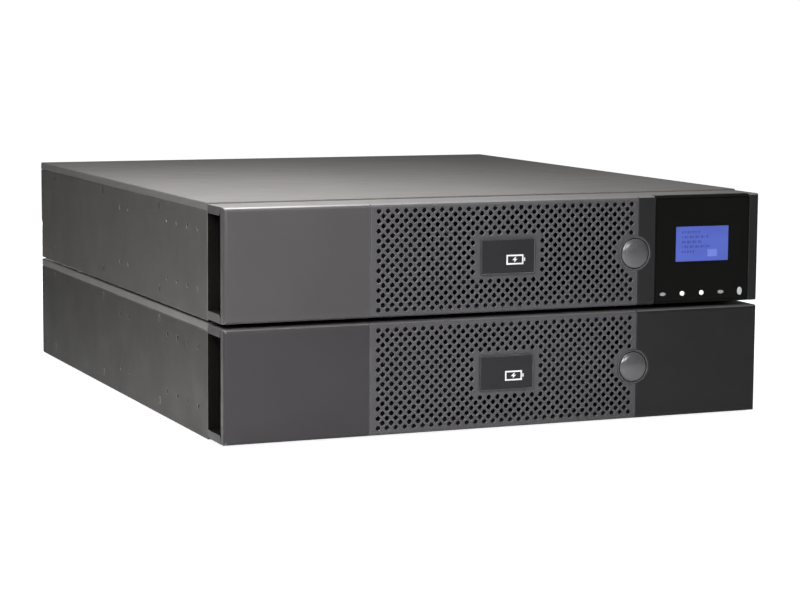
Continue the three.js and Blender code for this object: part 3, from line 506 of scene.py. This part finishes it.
def makeStudio():
    world = bpy.data.worlds.new("sky")
    scene.world = world
    world.use_nodes = True
    world.node_tree.nodes["Background"].inputs["Color"].default_value = (1, 1, 1, 1)
    world.node_tree.nodes["Background"].inputs["Strength"].default_value = skyStrength
    for name, (spot, size, power, target) in softLights.items():
        addSoftLight(name, spot, size, power, target)
    makeFloor(floorPlan)


makeCamera(cameraView)
makeStudio()
scene.view_settings.view_transform = "Standard"
print("camera, lights and floor made")


sheetLook = {"edge": 0.3 * mm, "holeRadius": 1.76 * mm, "holeDepth": 3.4 * mm, "rimDepth": 0.2 * mm}
flushScrew = {
    "radius": 2.75 * mm, "thick": 0.9 * mm, "gap": 0.1 * mm, "sides": 24,
    "rim": 0.35 * mm, "slope": 0.9 * mm, "dip": 0.45 * mm,
}
topLook = {"sideRound": 1.1 * mm, "roundSteps": 4, "edge": 0.2 * mm}
coverScrews = {"shares": (0.3, 0.605, 0.91), "inset": 11 * mm}
bracketHoles = {"columns": (60, 85.2, 110.4, 135.6, 240.5, 262.8), "rowPitch": 44.45 * mm}


def sideSpots(unit):
    low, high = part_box(unit + "_casing")
    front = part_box(unit + "_front_cover")[0].y
    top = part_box(unit + "_top_cover")[1].z
    middle = (low.z + top) / 2
    holes = [(front + column * mm, middle + side * bracketHoles["rowPitch"] / 2)
             for column in bracketHoles["columns"] for side in (-1, 1)]
    screws = []
    for share in coverScrews["shares"]:
        y = front + share * (high.y - front)
        screws += [(y, low.z + coverScrews["inset"]), (y, top - coverScrews["inset"])]
    return holes, screws


# One countersunk screw, flush with the sheet it holds, with a hollow in its head
def addFlushScrew(name, y, z, sideX):
    outward = 1 if sideX > 0 else -1
    plan = flushScrew
    thick = plan["thick"]
    head = addBar(name, (sideX - outward * thick / 2, y, z), plan["radius"] - plan["gap"], thick,
                  "X", plan["sides"])
    editMode()
    selectFaces(head, lambda centre, normal: normal.x * outward > facing)
    bpy.ops.mesh.inset(thickness=plan["rim"])
    bpy.ops.mesh.inset(thickness=plan["slope"])
    bpy.ops.transform.translate(value=(-outward * plan["dip"], 0, 0))
    objectMode()
    return head


def makeCasing(unit):
    piece = copyNode(unit + "_casing", unit + "Casing")
    low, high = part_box(unit + "_casing")
    holes, screws = sideSpots(unit)
    cutters = []
    for sideX in (low.x, high.x):
        for y, z in holes:
            cutters.append(addBar("hole", (sideX, y, z), sheetLook["holeRadius"],
                                  sheetLook["holeDepth"], "X", 20))
        for y, z in screws:
            cutters.append(addBar("sink", (sideX, y, z), flushScrew["radius"],
                                  2 * flushScrew["thick"] + flushScrew["gap"], "X", flushScrew["sides"]))
    cutWith(piece, joinPieces(cutters))
    # the lower unit's casing takes the darker copy of the paint, painted shade
    paint(piece, casingPaint if unit == "ups" else moduleCasingShaded, wornPaint)
    softenEdges(piece, sheetLook["edge"])
    # the front rim is seen from inside the finger slots, and takes painted shade there
    paintFaces(piece, paintedSlotShade, lambda c, n: c.y < low.y + sheetLook["rimDepth"] and facesFront(c, n))
    place(piece, "stack", "casing_paint", unit + "_casing")
    heads = []
    for sideX in (low.x, high.x):
        for y, z in screws:
            heads.append(addFlushScrew("head", y, z, sideX))
    screwSet = joinPieces(heads)
    screwSet.name = unit + "SideScrews"
    paint(screwSet, screwSteel)
    place(screwSet, "stack", "casing_paint")


def makeTopCover(unit):
    piece = copyNode(unit + "_top_cover", unit + "TopCover")
    paint(piece, coverPaint, wornPaint)
    low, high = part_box(unit + "_top_cover")
    makeActive(piece)
    editMode("EDGE")
    selectEdges(piece, lambda a, b: abs(a.z - high.z) < nearby and abs(b.z - high.z) < nearby
                and abs(a.x - b.x) < nearby and abs(abs(a.x) - high.x) < nearby)
    bpy.ops.mesh.bevel(offset=topLook["sideRound"], segments=topLook["roundSteps"])
    objectMode()
    softenEdges(piece, topLook["edge"])
    place(piece, "stack", "cover_paint", unit + "_top_cover")


for unit in units:
    makeCasing(unit)
    makeTopCover(unit)
print("casings and top covers made")


frontLook = {
    "edge": 0.35 * mm, "slotCorner": 3.2 * mm, "slotSteps": 5, "slotEnd": 6.5 * mm, "slotGap": 0.3 * mm,
    "slotWall": 3 * mm, "topBand": 1.6 * mm, "topLean": 0.75, "skin": 0.1 * mm,
}
# the lower unit's front takes the darker copy of the moulding, painted shade
frontPlastic = {"ups": moulding, "ebm": moduleMouldingShaded}
grillePlan = {
    "firstColumn": 6.5 * mm, "columnPitch": 3.6 * mm, "columns": 59,
    "firstRow": 5.6 * mm, "rowPitch": 3.64 * mm, "rows": 21,
    "holeRadius": 2.2 * mm, "edgeRadius": 3.5 * mm, "thickness": 2 * mm, "edge": 0.2 * mm,
    "badgeMargin": 1.6 * mm, "knobGap": 13.7 * mm, "knobMargin": 2.3 * mm, "knobSides": 64, "arcSteps": 6,
    "holeSteps": 2, "holeProfile": 0.16, "onPoint": 0.05 * mm,
}


# The upright ends of a finger slot are square in the frame; here their front corners are rounded
def roundSlotEnds(piece, node):
    low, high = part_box(node)
    outer = high.x if abs(high.x) > abs(low.x) else low.x
    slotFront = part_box(node[:3] + "_front_cover")[1].y + frontLook["slotGap"]
    ends = (low.z + frontLook["slotEnd"], high.z - frontLook["slotEnd"])
    makeActive(piece)
    editMode("EDGE")

    def slotCorner(a, b):
        skin = frontLook["skin"]
        across = (abs(a.y - b.y) < nearby and abs(a.z - b.z) < nearby
                  and abs(a.x - b.x) > frontLook["slotWall"])
        return (across and min(abs(a.x - outer), abs(b.x - outer)) < skin
                and min(abs(a.z - end) for end in ends) < skin / 2 and abs(a.y - slotFront) < skin)

    selectEdges(piece, slotCorner)
    bpy.ops.mesh.bevel(offset=frontLook["slotCorner"], segments=frontLook["slotSteps"])
    objectMode()


# The rolled top of the front takes a painted highlight, lighter than the moulding, where it catches the
# light
def paintTopHighlight(piece, node):
    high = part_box(node)[1]
    paintFaces(piece, frontTopHighlight, lambda c, n: n.z > frontLook["topLean"]
               and c.z > high.z - frontLook["topBand"])


def makeBezel(unit):
    piece = copyNode(unit + "_bezel", unit + "Bezel")
    paint(piece, endPlastic, wornEnd)
    roundSlotEnds(piece, unit + "_bezel")
    softenEdges(piece, frontLook["edge"])
    paintTopHighlight(piece, unit + "_bezel")
    place(piece, "stack", "bezel_plastic", unit + "_bezel")


def makeFrontFrame(unit):
    piece = copyNode(unit + "_front_frame", unit + "FrontFrame")
    # the frame is painted shade all over, apart from its outer left face and its top
    paint(piece, paintedSlotShade, paintedSlotShade)
    roundSlotEnds(piece, unit + "_front_frame")
    softenEdges(piece, frontLook["edge"])
    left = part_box(unit + "_front_frame")[0].x
    paintFaces(piece, frontPlastic[unit], lambda c, n: c.x < left + frontLook["skin"] and n.x < -facing)
    paintTopHighlight(piece, unit + "_front_frame")
    place(piece, "stack", "bezel_plastic", unit + "_front_frame")


def makeFrontCover(unit):
    piece = copyNode(unit + "_front_cover", unit + "FrontCover")
    paint(piece, frontPlastic[unit], wornMoulding)
    softenEdges(piece, frontLook["edge"])
    low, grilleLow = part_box(unit + "_front_cover")[0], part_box(unit + "_grille")[0]
    knob = sum(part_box(unit + "_knob"), Vector()) / 2
    reach = grillePlan["knobGap"]
    # the frame behind the grille takes painted shade, apart from the cup round the knob
    paintFaces(piece, paintedSlotShade, lambda c, n: c.x > grilleLow.x and c.y > low.y + grillePlan["thickness"]
               and math.hypot(c.x - knob.x, c.z - knob.z) > reach)
    paintTopHighlight(piece, unit + "_front_cover")
    place(piece, unit + "_cover", "bezel_plastic", unit + "_front_cover")


def makeGrille(unit):
    plan = grillePlan
    low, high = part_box(unit + "_grille")
    badgeLow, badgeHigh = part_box(unit + "_badge")
    knobLow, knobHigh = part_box(unit + "_knob")
    knob = (knobLow + knobHigh) / 2
    columns, rows = plan["columns"] + 1, plan["rows"] + 1
    wide, tall = columns * plan["columnPitch"], rows * plan["rowPitch"]
    firstX = low.x + plan["firstColumn"]
    firstZ = low.z + plan["firstRow"]
    left, bottom = firstX - plan["columnPitch"], firstZ - plan["rowPitch"]
    deselectAll()
    bpy.ops.mesh.primitive_grid_add(x_subdivisions=columns, y_subdivisions=rows, size=1,
                                    location=(left + wide / 2, low.y, bottom + tall / 2),
                                    rotation=(math.pi / 2, 0, 0))
    piece = bpy.context.object
    piece.name = unit + "Grille"
    piece.scale = (wide, tall, 1)
    settle(piece)
    # the outermost rows and columns go out to where the flat of the face ends
    flatBottom, flatTop = low.z + plan["edgeRadius"], high.z - plan["edgeRadius"]
    editMode("VERT")
    for axis, now, then in ((0, left, low.x), (0, left + wide, high.x),
                            (2, bottom, flatBottom), (2, bottom + tall, flatTop)):
        selectPoints(piece, lambda co: abs(co[axis] - now) < 2 * plan["onPoint"])
        shift = [0, 0, 0]
        shift[axis] = then - now
        bpy.ops.transform.translate(value=shift)

    def isHole(co):
        column = round((co.x - firstX) / plan["columnPitch"])
        row = round((co.z - firstZ) / plan["rowPitch"])
        if not (0 <= column < plan["columns"] and 0 <= row < plan["rows"]) or (column + row) % 2:
            return False
        offX = co.x - firstX - column * plan["columnPitch"]
        offZ = co.z - firstZ - row * plan["rowPitch"]
        if math.hypot(offX, offZ) > plan["onPoint"]:
            return False
        reach = plan["holeRadius"] + plan["badgeMargin"]
        overBadge = (badgeLow.x - reach < co.x < badgeHigh.x + reach
                     and badgeLow.z - reach < co.z < badgeHigh.z + reach)
        nearKnob = math.hypot(co.x - knob.x, co.z - knob.z) < plan["knobGap"] + plan["knobMargin"]
        return not overBadge and not nearKnob

    # each opening is a beveled grid point, with its middle taken out
    selectPoints(piece, isHole)
    bpy.ops.mesh.bevel(offset=plan["holeRadius"], segments=plan["holeSteps"],
                       profile=plan["holeProfile"], affect="VERTICES")
    selectPoints(piece, isHole)
    bpy.ops.mesh.delete(type="VERT")
    # the top and bottom edges roll back round a quarter circle, then run to the rear
    radius, steps = plan["edgeRadius"], plan["arcSteps"]
    for sign, start in ((1, flatTop), (-1, flatBottom)):
        bpy.ops.mesh.select_mode(type="EDGE")
        selectEdges(piece, lambda a, b: abs(a.z - start) < nearby and abs(b.z - start) < nearby
                    and abs(a.y - low.y) < nearby)
        for step in range(steps):
            was, now = (math.radians(90 * s / steps) for s in (step, step + 1))
            back = radius * (math.cos(was) - math.cos(now))
            out = sign * radius * (math.sin(now) - math.sin(was))
            bpy.ops.mesh.extrude_edges_move(TRANSFORM_OT_translate={"value": (0, back, out)})
        bpy.ops.mesh.extrude_edges_move(TRANSFORM_OT_translate={"value": (0, high.y - low.y - radius, 0)})
    bpy.ops.mesh.select_all(action="SELECT")
    bpy.ops.mesh.normals_make_consistent(inside=False)
    objectMode()
    middle = [p for p in piece.data.polygons if abs(p.center.y - low.y) < nearby]
    if sum(p.normal.y for p in middle) > 0:
        editMode()
        bpy.ops.mesh.select_all(action="SELECT")
        bpy.ops.mesh.flip_normals()
        objectMode()
    wall = piece.modifiers.new("wall", "SOLIDIFY")
    wall.thickness = plan["thickness"]
    wall.offset = -1
    applyModifiers(piece)
    cutWith(piece, addBar("knobHole", (knob.x, low.y, knob.z), plan["knobGap"], 30 * mm,
                          "Y", plan["knobSides"]))
    paint(piece, grillePlastic, wornMoulding)
    softenEdges(piece, plan["edge"], 1, smallPartAngle)
    paintTopHighlight(piece, unit + "_grille")
    place(piece, unit + "_cover", "grille_plastic", unit + "_grille")


for unit in units:
    makeBezel(unit)
    makeFrontFrame(unit)
    makeFrontCover(unit)
    makeGrille(unit)
print("bezels, front covers and grilles made")


knobPlan = {
    "sides": 64, "domeSteps": 9, "domeTurn": 84, "rimIn": 0.5 * mm, "seatIn": 2.7 * mm,
    "stemRadius": 2.3 * mm, "blade": (9 * mm, 2 * mm, 4 * mm), "edge": 0.4 * mm,
}
markPlan = {
    "width": 14, "height": 7.4, "line": 1.1, "raise": 0.12 * mm, "cutOver": 0.05 * mm,
    "nubWidth": 1, "nubHeight": 2.4, "nubPlace": 0.9,
    "spark": ((0.4, 2.1), (-2.1, -0.4), (-0.3, -0.4), (-0.6, -2.1), (2.1, 0.5), (0.3, 0.5), (1.1, 2.1)),
}
badgePlan = {
    "thickness": 1.2 * mm, "corner": 1.4 * mm, "cornerSteps": 6, "rim": 0.8 * mm, "dip": 0.15 * mm,
    "pinRadius": 2 * mm, "pinSunk": 0.6 * mm, "edge": 0.15 * mm, "markPlace": (5.5 * mm, -2.5 * mm),
}


def makeKnob(unit):
    low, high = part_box(unit + "_knob")
    centre = (low + high) / 2
    radius = (high.x - low.x) / 2
    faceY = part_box(unit + "_front_cover")[0].y
    rim, seat = faceY + knobPlan["rimIn"], faceY + knobPlan["seatIn"]
    piece = addBar(unit + "Knob", (centre.x, (rim + seat) / 2, centre.z), radius, seat - rim,
                   "Y", knobPlan["sides"])
    editMode()
    selectFaces(piece, facesFront)
    steps, rise = knobPlan["domeSteps"], rim - low.y
    for step in range(steps):
        was, now = (math.radians(90 - knobPlan["domeTurn"] * s / steps) for s in (step, step + 1))
        bpy.ops.mesh.inset(thickness=radius * (math.sin(was) - math.sin(now)))
        bpy.ops.transform.translate(value=(0, -rise * (math.cos(now) - math.cos(was)), 0))
    selectFaces(piece, facesRear)
    bpy.ops.mesh.inset(thickness=radius - knobPlan["stemRadius"])
    bpy.ops.mesh.extrude_region_move(TRANSFORM_OT_translate={"value": (0, high.y - seat, 0)})
    objectMode()
    length, thick, wide = knobPlan["blade"]
    cutWith(piece, addBlock("blade", (centre.x - length, high.y - thick, centre.z - wide / 2),
                            (centre.x, high.y, centre.z + wide / 2)), "UNION")
    paint(piece, knobPlastic, wornMoulding)
    softenEdges(piece, knobPlan["edge"], 3, smallPartAngle)
    place(piece, unit + "_knob", "bezel_plastic", unit + "_knob")


# A plain plate with a raised rim and a battery sign, on a pin that it turns about
def makeBadge(unit):
    plan = badgePlan
    low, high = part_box(unit + "_badge")
    back = low.y + plan["thickness"]
    piece = addBlock(unit + "Badge", low, (high.x, back, high.z))
    editMode("EDGE")
    selectEdges(piece, lambda a, b: abs(a.x - b.x) < nearby and abs(a.z - b.z) < nearby)
    bpy.ops.mesh.bevel(offset=plan["corner"], segments=plan["cornerSteps"])
    bpy.ops.mesh.select_mode(type="FACE")
    selectFaces(piece, facesFront)
    bpy.ops.mesh.inset(thickness=plan["rim"])
    bpy.ops.mesh.extrude_region_move(TRANSFORM_OT_translate={"value": (0, plan["dip"], 0)})
    objectMode()
    centre = (low + high) / 2
    pinLength = high.y - back + plan["pinSunk"]
    pin = addBar("pin", (centre.x, high.y - pinLength / 2, centre.z), plan["pinRadius"], pinLength, "Y", 24)
    cutWith(piece, pin, "UNION")
    paint(piece, badgePlastic, wornMoulding)
    softenEdges(piece, plan["edge"], 2, smallPartAngle)
    place(piece, unit + "_badge", "badge_plastic", unit + "_badge")
    acrossX, upZ = plan["markPlace"]
    makeMark(unit, Vector((centre.x + acrossX, low.y + plan["dip"], centre.z + upZ)))


# An outline in millimetres from its middle, raised a little from the face it stands on
def raiseShape(name, outline, centre, height):
    deselectAll()
    bpy.ops.mesh.primitive_circle_add(vertices=len(outline), radius=mm, fill_type="NGON",
                                      location=centre, rotation=(math.pi / 2, 0, 0))
    piece = bpy.context.object
    piece.name = name
    settle(piece)
    for point, (x, z) in zip(piece.data.vertices, outline):
        point.co = (centre.x + x * mm, centre.y, centre.z + z * mm)
    editMode()
    bpy.ops.mesh.select_all(action="SELECT")
    bpy.ops.mesh.extrude_region_move(TRANSFORM_OT_translate={"value": (0, -height, 0)})
    bpy.ops.mesh.select_all(action="SELECT")
    bpy.ops.mesh.normals_make_consistent(inside=False)
    objectMode()
    return piece


# A plain battery sign: a frame with a nub at its end, and a spark inside
def makeMark(unit, centre):
    plan = markPlan
    sides = ((-1, -1), (1, -1), (1, 1), (-1, 1))
    wide, tall, line = plan["width"] / 2, plan["height"] / 2, plan["line"]
    outer = raiseShape("outer", [(x * wide, z * tall) for x, z in sides], centre, plan["raise"])
    inner = raiseShape("inner", [(x * (wide - line), z * (tall - line)) for x, z in sides],
                       centre + Vector((0, plan["cutOver"], 0)), plan["raise"] + 2 * plan["cutOver"])
    outline = cutWith(outer, inner)
    nubX, nubZ = plan["nubWidth"] / 2, plan["nubHeight"] / 2
    nub = raiseShape("nub", [(wide + plan["nubPlace"] + x * nubX, z * nubZ) for x, z in sides],
                     centre, plan["raise"])
    spark = raiseShape("spark", plan["spark"], centre, plan["raise"])
    mark = joinPieces([outline, nub, spark])
    mark.name = unit + "BadgeMark"
    paint(mark, markGrey)
    place(mark, unit + "_badge", "badge_plastic")


for unit in units:
    makeKnob(unit)
    makeBadge(unit)
print("knobs and badges made")


# the up and down keys take the glowing finish, a painted highlight
keyPlan = (
    ("ups_key_escape", keyDim), ("ups_key_down", keyBright), ("ups_key_up", keyBright),
    ("ups_key_enter", keyDim), ("ups_key_power", keyGrey),
)
keyShape = {"sides": 32, "rim": 0.45 * mm, "edge": 0.2 * mm}
# rows of dashes, each by its height and its length, and a gauge by its middle and its size, in millimetres
screenPlan = {
    "rows": ((9.2, 17), (5.4, 25), (1.6, 20), (-2.2, 27), (-6.0, 14)), "halfRow": 0.9,
    "textLeft": -18, "dashPitch": 2.4 * mm, "dashShare": 0.55, "dashSpread": 0.25, "dashChange": 3.1,
    "gauge": (9.2, -7.4, 8.5, 5.6), "gaugeRim": 0.6 * mm, "gaugeDip": 0.03 * mm,
    "thin": 0.06 * mm, "skin": 0.005 * mm, "rim": 0.9 * mm, "dip": 0.15 * mm,
}
displayEdges = {"housing": 0.3 * mm, "glass": 0.2 * mm}


def makeDisplay():
    for part, edge in displayEdges.items():
        node = "ups_display_" + part
        piece = copyNode(node, camelName(node))
        paint(piece, glossBlack)
        softenEdges(piece, edge)
        place(piece, "ups_display", "gloss_black", node)


def sinkFront(piece, rim, dip):
    editMode()
    selectFaces(piece, facesFront)
    bpy.ops.mesh.inset(thickness=rim)
    bpy.ops.mesh.extrude_region_move(TRANSFORM_OT_translate={"value": (0, dip, 0)})
    objectMode()


def makeScreen():
    plan = screenPlan
    low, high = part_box("ups_screen")
    piece = addBlock("upsScreen", low, high)
    sinkFront(piece, plan["rim"], plan["dip"])
    paint(piece, screenBlue)
    place(piece, "ups_display", "screen_blue", "ups_screen")
    centre = (low + high) / 2
    front, back = low.y + plan["dip"] - plan["thin"], low.y + plan["dip"] - plan["skin"]
    step = plan["dashPitch"]
    lines = []
    for z, length in plan["rows"]:
        bottom, top = centre.z + (z - plan["halfRow"]) * mm, centre.z + (z + plan["halfRow"]) * mm
        for i in range(int(length * mm / step)):
            x = centre.x + plan["textLeft"] * mm + i * step
            wide = step * (plan["dashShare"] + plan["dashSpread"] * math.sin(plan["dashChange"] * i + z))
            lines.append(addBlock("dash", (x, front, bottom), (x + wide, back, top)))
    text = joinPieces(lines)
    text.name = "upsScreenLines"
    paint(text, screenInk)
    place(text, "ups_display", "screen_blue")
    acrossX, upZ, wide, tall = (value * mm for value in plan["gauge"])
    gaugeX, gaugeZ = centre.x + acrossX, centre.z + upZ
    gauge = addBlock("upsScreenGauge", (gaugeX - wide / 2, front, gaugeZ - tall / 2),
                     (gaugeX + wide / 2, back, gaugeZ + tall / 2))
    sinkFront(gauge, plan["gaugeRim"], plan["gaugeDip"])
    paint(gauge, screenPale)
    place(gauge, "ups_display", "screen_blue")


# Each key is an oval bar with a flat, rimmed end
def makeKeys():
    for node, finish in keyPlan:
        low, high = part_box(node)
        centre = (low + high) / 2
        piece = addBar(camelName(node), centre, 0.5, high.y - low.y, "Y", keyShape["sides"])
        piece.data.transform(Matrix.Translation(-centre))
        piece.data.transform(Matrix.Diagonal((high.x - low.x, 1, high.z - low.z, 1)))
        piece.data.transform(Matrix.Translation(centre))
        editMode()
        selectFaces(piece, facesFront)
        bpy.ops.mesh.inset(thickness=keyShape["rim"])
        objectMode()
        paint(piece, finish)
        softenEdges(piece, keyShape["edge"], 3, smallPartAngle)
        place(piece, node, "key_light", node)


makeDisplay()
makeScreen()
makeKeys()
print("display, screen and keys made")


# node: (body, slot, finish, worn finish, edge width in millimetres, or 0 for one left as it is)
copies = {}
for unit in units:
    copies[unit + "_rear_panel"] = ("stack", "casing_paint", casingPaint, wornPaint, 0)
    # the battery doors take the near-black door finish, painted shade behind the grille
    copies[unit + "_battery_door"] = (unit + "_door", "casing_paint", doorPaint, wornEnd, 0.25)
    copies[unit + "_foot"] = ("stack", "rubber", rubber, rubber, 0.25)
for node in ("ups_inlet", "ups_battery_socket", "ebm_sockets", "ups_ports"):
    copies[node] = ("stack", "socket_plastic", socketPlastic, wornSocket, 0.25)
for node in ("ups_outlets_lower", "ups_outlets_upper"):
    copies[node] = ("stack", "socket_plastic", socketPlastic, wornSocket, 0)
copies["ups_card_cover"] = ("stack", "casing_paint", casingPaint, wornPaint, 0.25)
copies["ups_fan_frame"] = ("stack", "fan_plastic", fanPlastic, wornSocket, 0.3)
copies["ups_fan_rotor"] = ("ups_fan_rotor", "fan_plastic", fanPlastic, wornSocket, 0.2)
copies["ups_reset_button"] = ("ups_reset_button", "button_black", socketPlastic, wornSocket, 0.5)
copies["ups_heatsink"] = ("stack", "heatsink_metal", finMetal, wornZinc, 0.2)
copies["ups_transformer"] = ("stack", "core_steel", coreSteel, wornPaint, 0.6)
copies["ups_power_board"] = ("stack", "circuit_board", boardGreen, boardGreen, 0.2)
copies["ebm_fuse_board"] = ("stack", "circuit_board", boardGreen, boardGreen, 0.2)
copies["ups_control_board"] = ("ups_display", "circuit_board", boardGreen, boardGreen, 0.15)
copies["ups_tray"] = ("ups_pack", "zinc_steel", zincPlate, wornZinc, 0.2)
for i in range(1, 5):
    copies[f"ups_battery_{i}"] = ("ups_pack", "battery_case", batteryShell, wornBattery, 1.2)
for side in ("left", "right"):
    copies[f"ebm_tray_{side}"] = (f"ebm_pack_{side}", "zinc_steel", zincPlate, wornZinc, 0.2)
    for i in range(1, 5):
        copies[f"ebm_battery_{side}_{i}"] = (f"ebm_pack_{side}", "battery_case",
                                             batteryShell, wornBattery, 1.2)


for node, (body, slotName, finish, worn, edge) in copies.items():
    piece = copyNode(node, camelName(node), edge == 0)
    paint(piece, finish, worn)
    if edge:
        softenEdges(piece, edge * mm, 2, smallPartAngle)
    place(piece, body, slotName, node)
print("rear fittings, trays and boards made")

# Pan-head screws on the rear, and bright contacts in the inlet, the sockets and on the batteries
panHead = {
    "radius": 3 * mm, "thick": 1.5 * mm, "round": 0.7 * mm, "crown": 0.3 * mm,
    "hollow": 0.8 * mm, "hollowDepth": 0.6 * mm, "sides": 24, "cornerInset": 7 * mm, "fanHole": 35.8 * mm,
}
# pins by their places and their size, in millimetres; skin is how far they stand proud of the frame's
contactPlan = {
    "skin": 0.12 * mm, "length": 6 * mm, "inset": 5 * mm, "edge": 0.2 * mm,
    "inletPins": ((-8, -3), (8, -3), (0, 5)), "inletPin": (8, 2),
    "socketPins": ((-9, 0), (9, 0)), "socketPin": (6, 3), "socketPlace": 30 * mm,
}
terminalPlan = {
    "width": 6 * mm, "height": 3 * mm, "shares": (0.08, 0.92), "skin": 0.12 * mm, "edge": 0.4 * mm,
}


def addPanHead(x, y, z):
    head = addBar("head", (x, y + panHead["thick"] / 2, z), panHead["radius"], panHead["thick"],
                  "Y", panHead["sides"])
    editMode()
    selectFaces(head, facesRear)
    bpy.ops.mesh.inset(thickness=panHead["round"])
    bpy.ops.transform.translate(value=(0, panHead["crown"], 0))
    bpy.ops.mesh.inset(thickness=panHead["hollow"])
    bpy.ops.transform.translate(value=(0, -panHead["hollowDepth"], 0))
    objectMode()
    return head


def makeRearScrews(unit):
    low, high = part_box(unit + "_rear_panel")
    inset = panHead["cornerInset"]
    spots = [(x, z) for x in (low.x + inset, high.x - inset) for z in (low.z + inset, high.z - inset)]
    if unit == "ups":
        fan = sum(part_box("ups_fan_frame"), Vector()) / 2
        reach = panHead["fanHole"]
        spots += [(fan.x + i * reach, fan.z + k * reach) for i in (-1, 1) for k in (-1, 1)]
    screwSet = joinPieces([addPanHead(x, high.y, z) for x, z in spots])
    screwSet.name = unit + "RearScrews"
    paint(screwSet, screwSteel)
    place(screwSet, "stack", "casing_paint")


def finishContacts(pieces, name, edge, body, slotName):
    joined = joinPieces(pieces)
    joined.name = name
    paint(joined, brass)
    softenEdges(joined, edge, 2, smallPartAngle)
    place(joined, body, slotName)


# The pins of one node, which may hold several sockets side by side
def makeContacts(name, node, kind, shifts=(0,)):
    low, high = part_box(node)
    centre = (low + high) / 2
    skin = contactPlan["skin"]
    wide, tall = (side * mm / 2 + skin for side in contactPlan[kind + "Pin"])
    end = high.y - contactPlan["inset"] + skin
    contacts = []
    for shift in shifts:
        for acrossX, upZ in contactPlan[kind + "Pins"]:
            x, z = centre.x + shift + acrossX * mm, centre.z + upZ * mm
            contacts.append(addBlock(name, (x - wide, end - contactPlan["length"], z - tall),
                                     (x + wide, end, z + tall)))
    finishContacts(contacts, name, contactPlan["edge"], "stack", "socket_plastic")


def makeTerminals(node, body):
    low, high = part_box(node)
    middleY = (low.y + high.y) / 2
    skin = terminalPlan["skin"]
    half = terminalPlan["width"] / 2 + skin
    caps = []
    for share in terminalPlan["shares"]:
        x = low.x + share * (high.x - low.x)
        caps.append(addBlock("cap", (x - half, middleY - half, high.z - terminalPlan["height"] + skin),
                             (x + half, middleY + half, high.z + skin)))
    finishContacts(caps, camelName(node) + "Terminals", terminalPlan["edge"], body, "battery_case")


for unit in units:
    makeRearScrews(unit)
makeContacts("upsInletPins", "ups_inlet", "inlet")
makeContacts("upsSocketPins", "ups_battery_socket", "socket")
makeContacts("ebmSocketPins", "ebm_sockets", "socket",
             (-contactPlan["socketPlace"], contactPlan["socketPlace"]))
for node, (body, slotName, *_) in copies.items():
    if slotName == "battery_case":
        makeTerminals(node, body)
print("rear screws and contacts made")
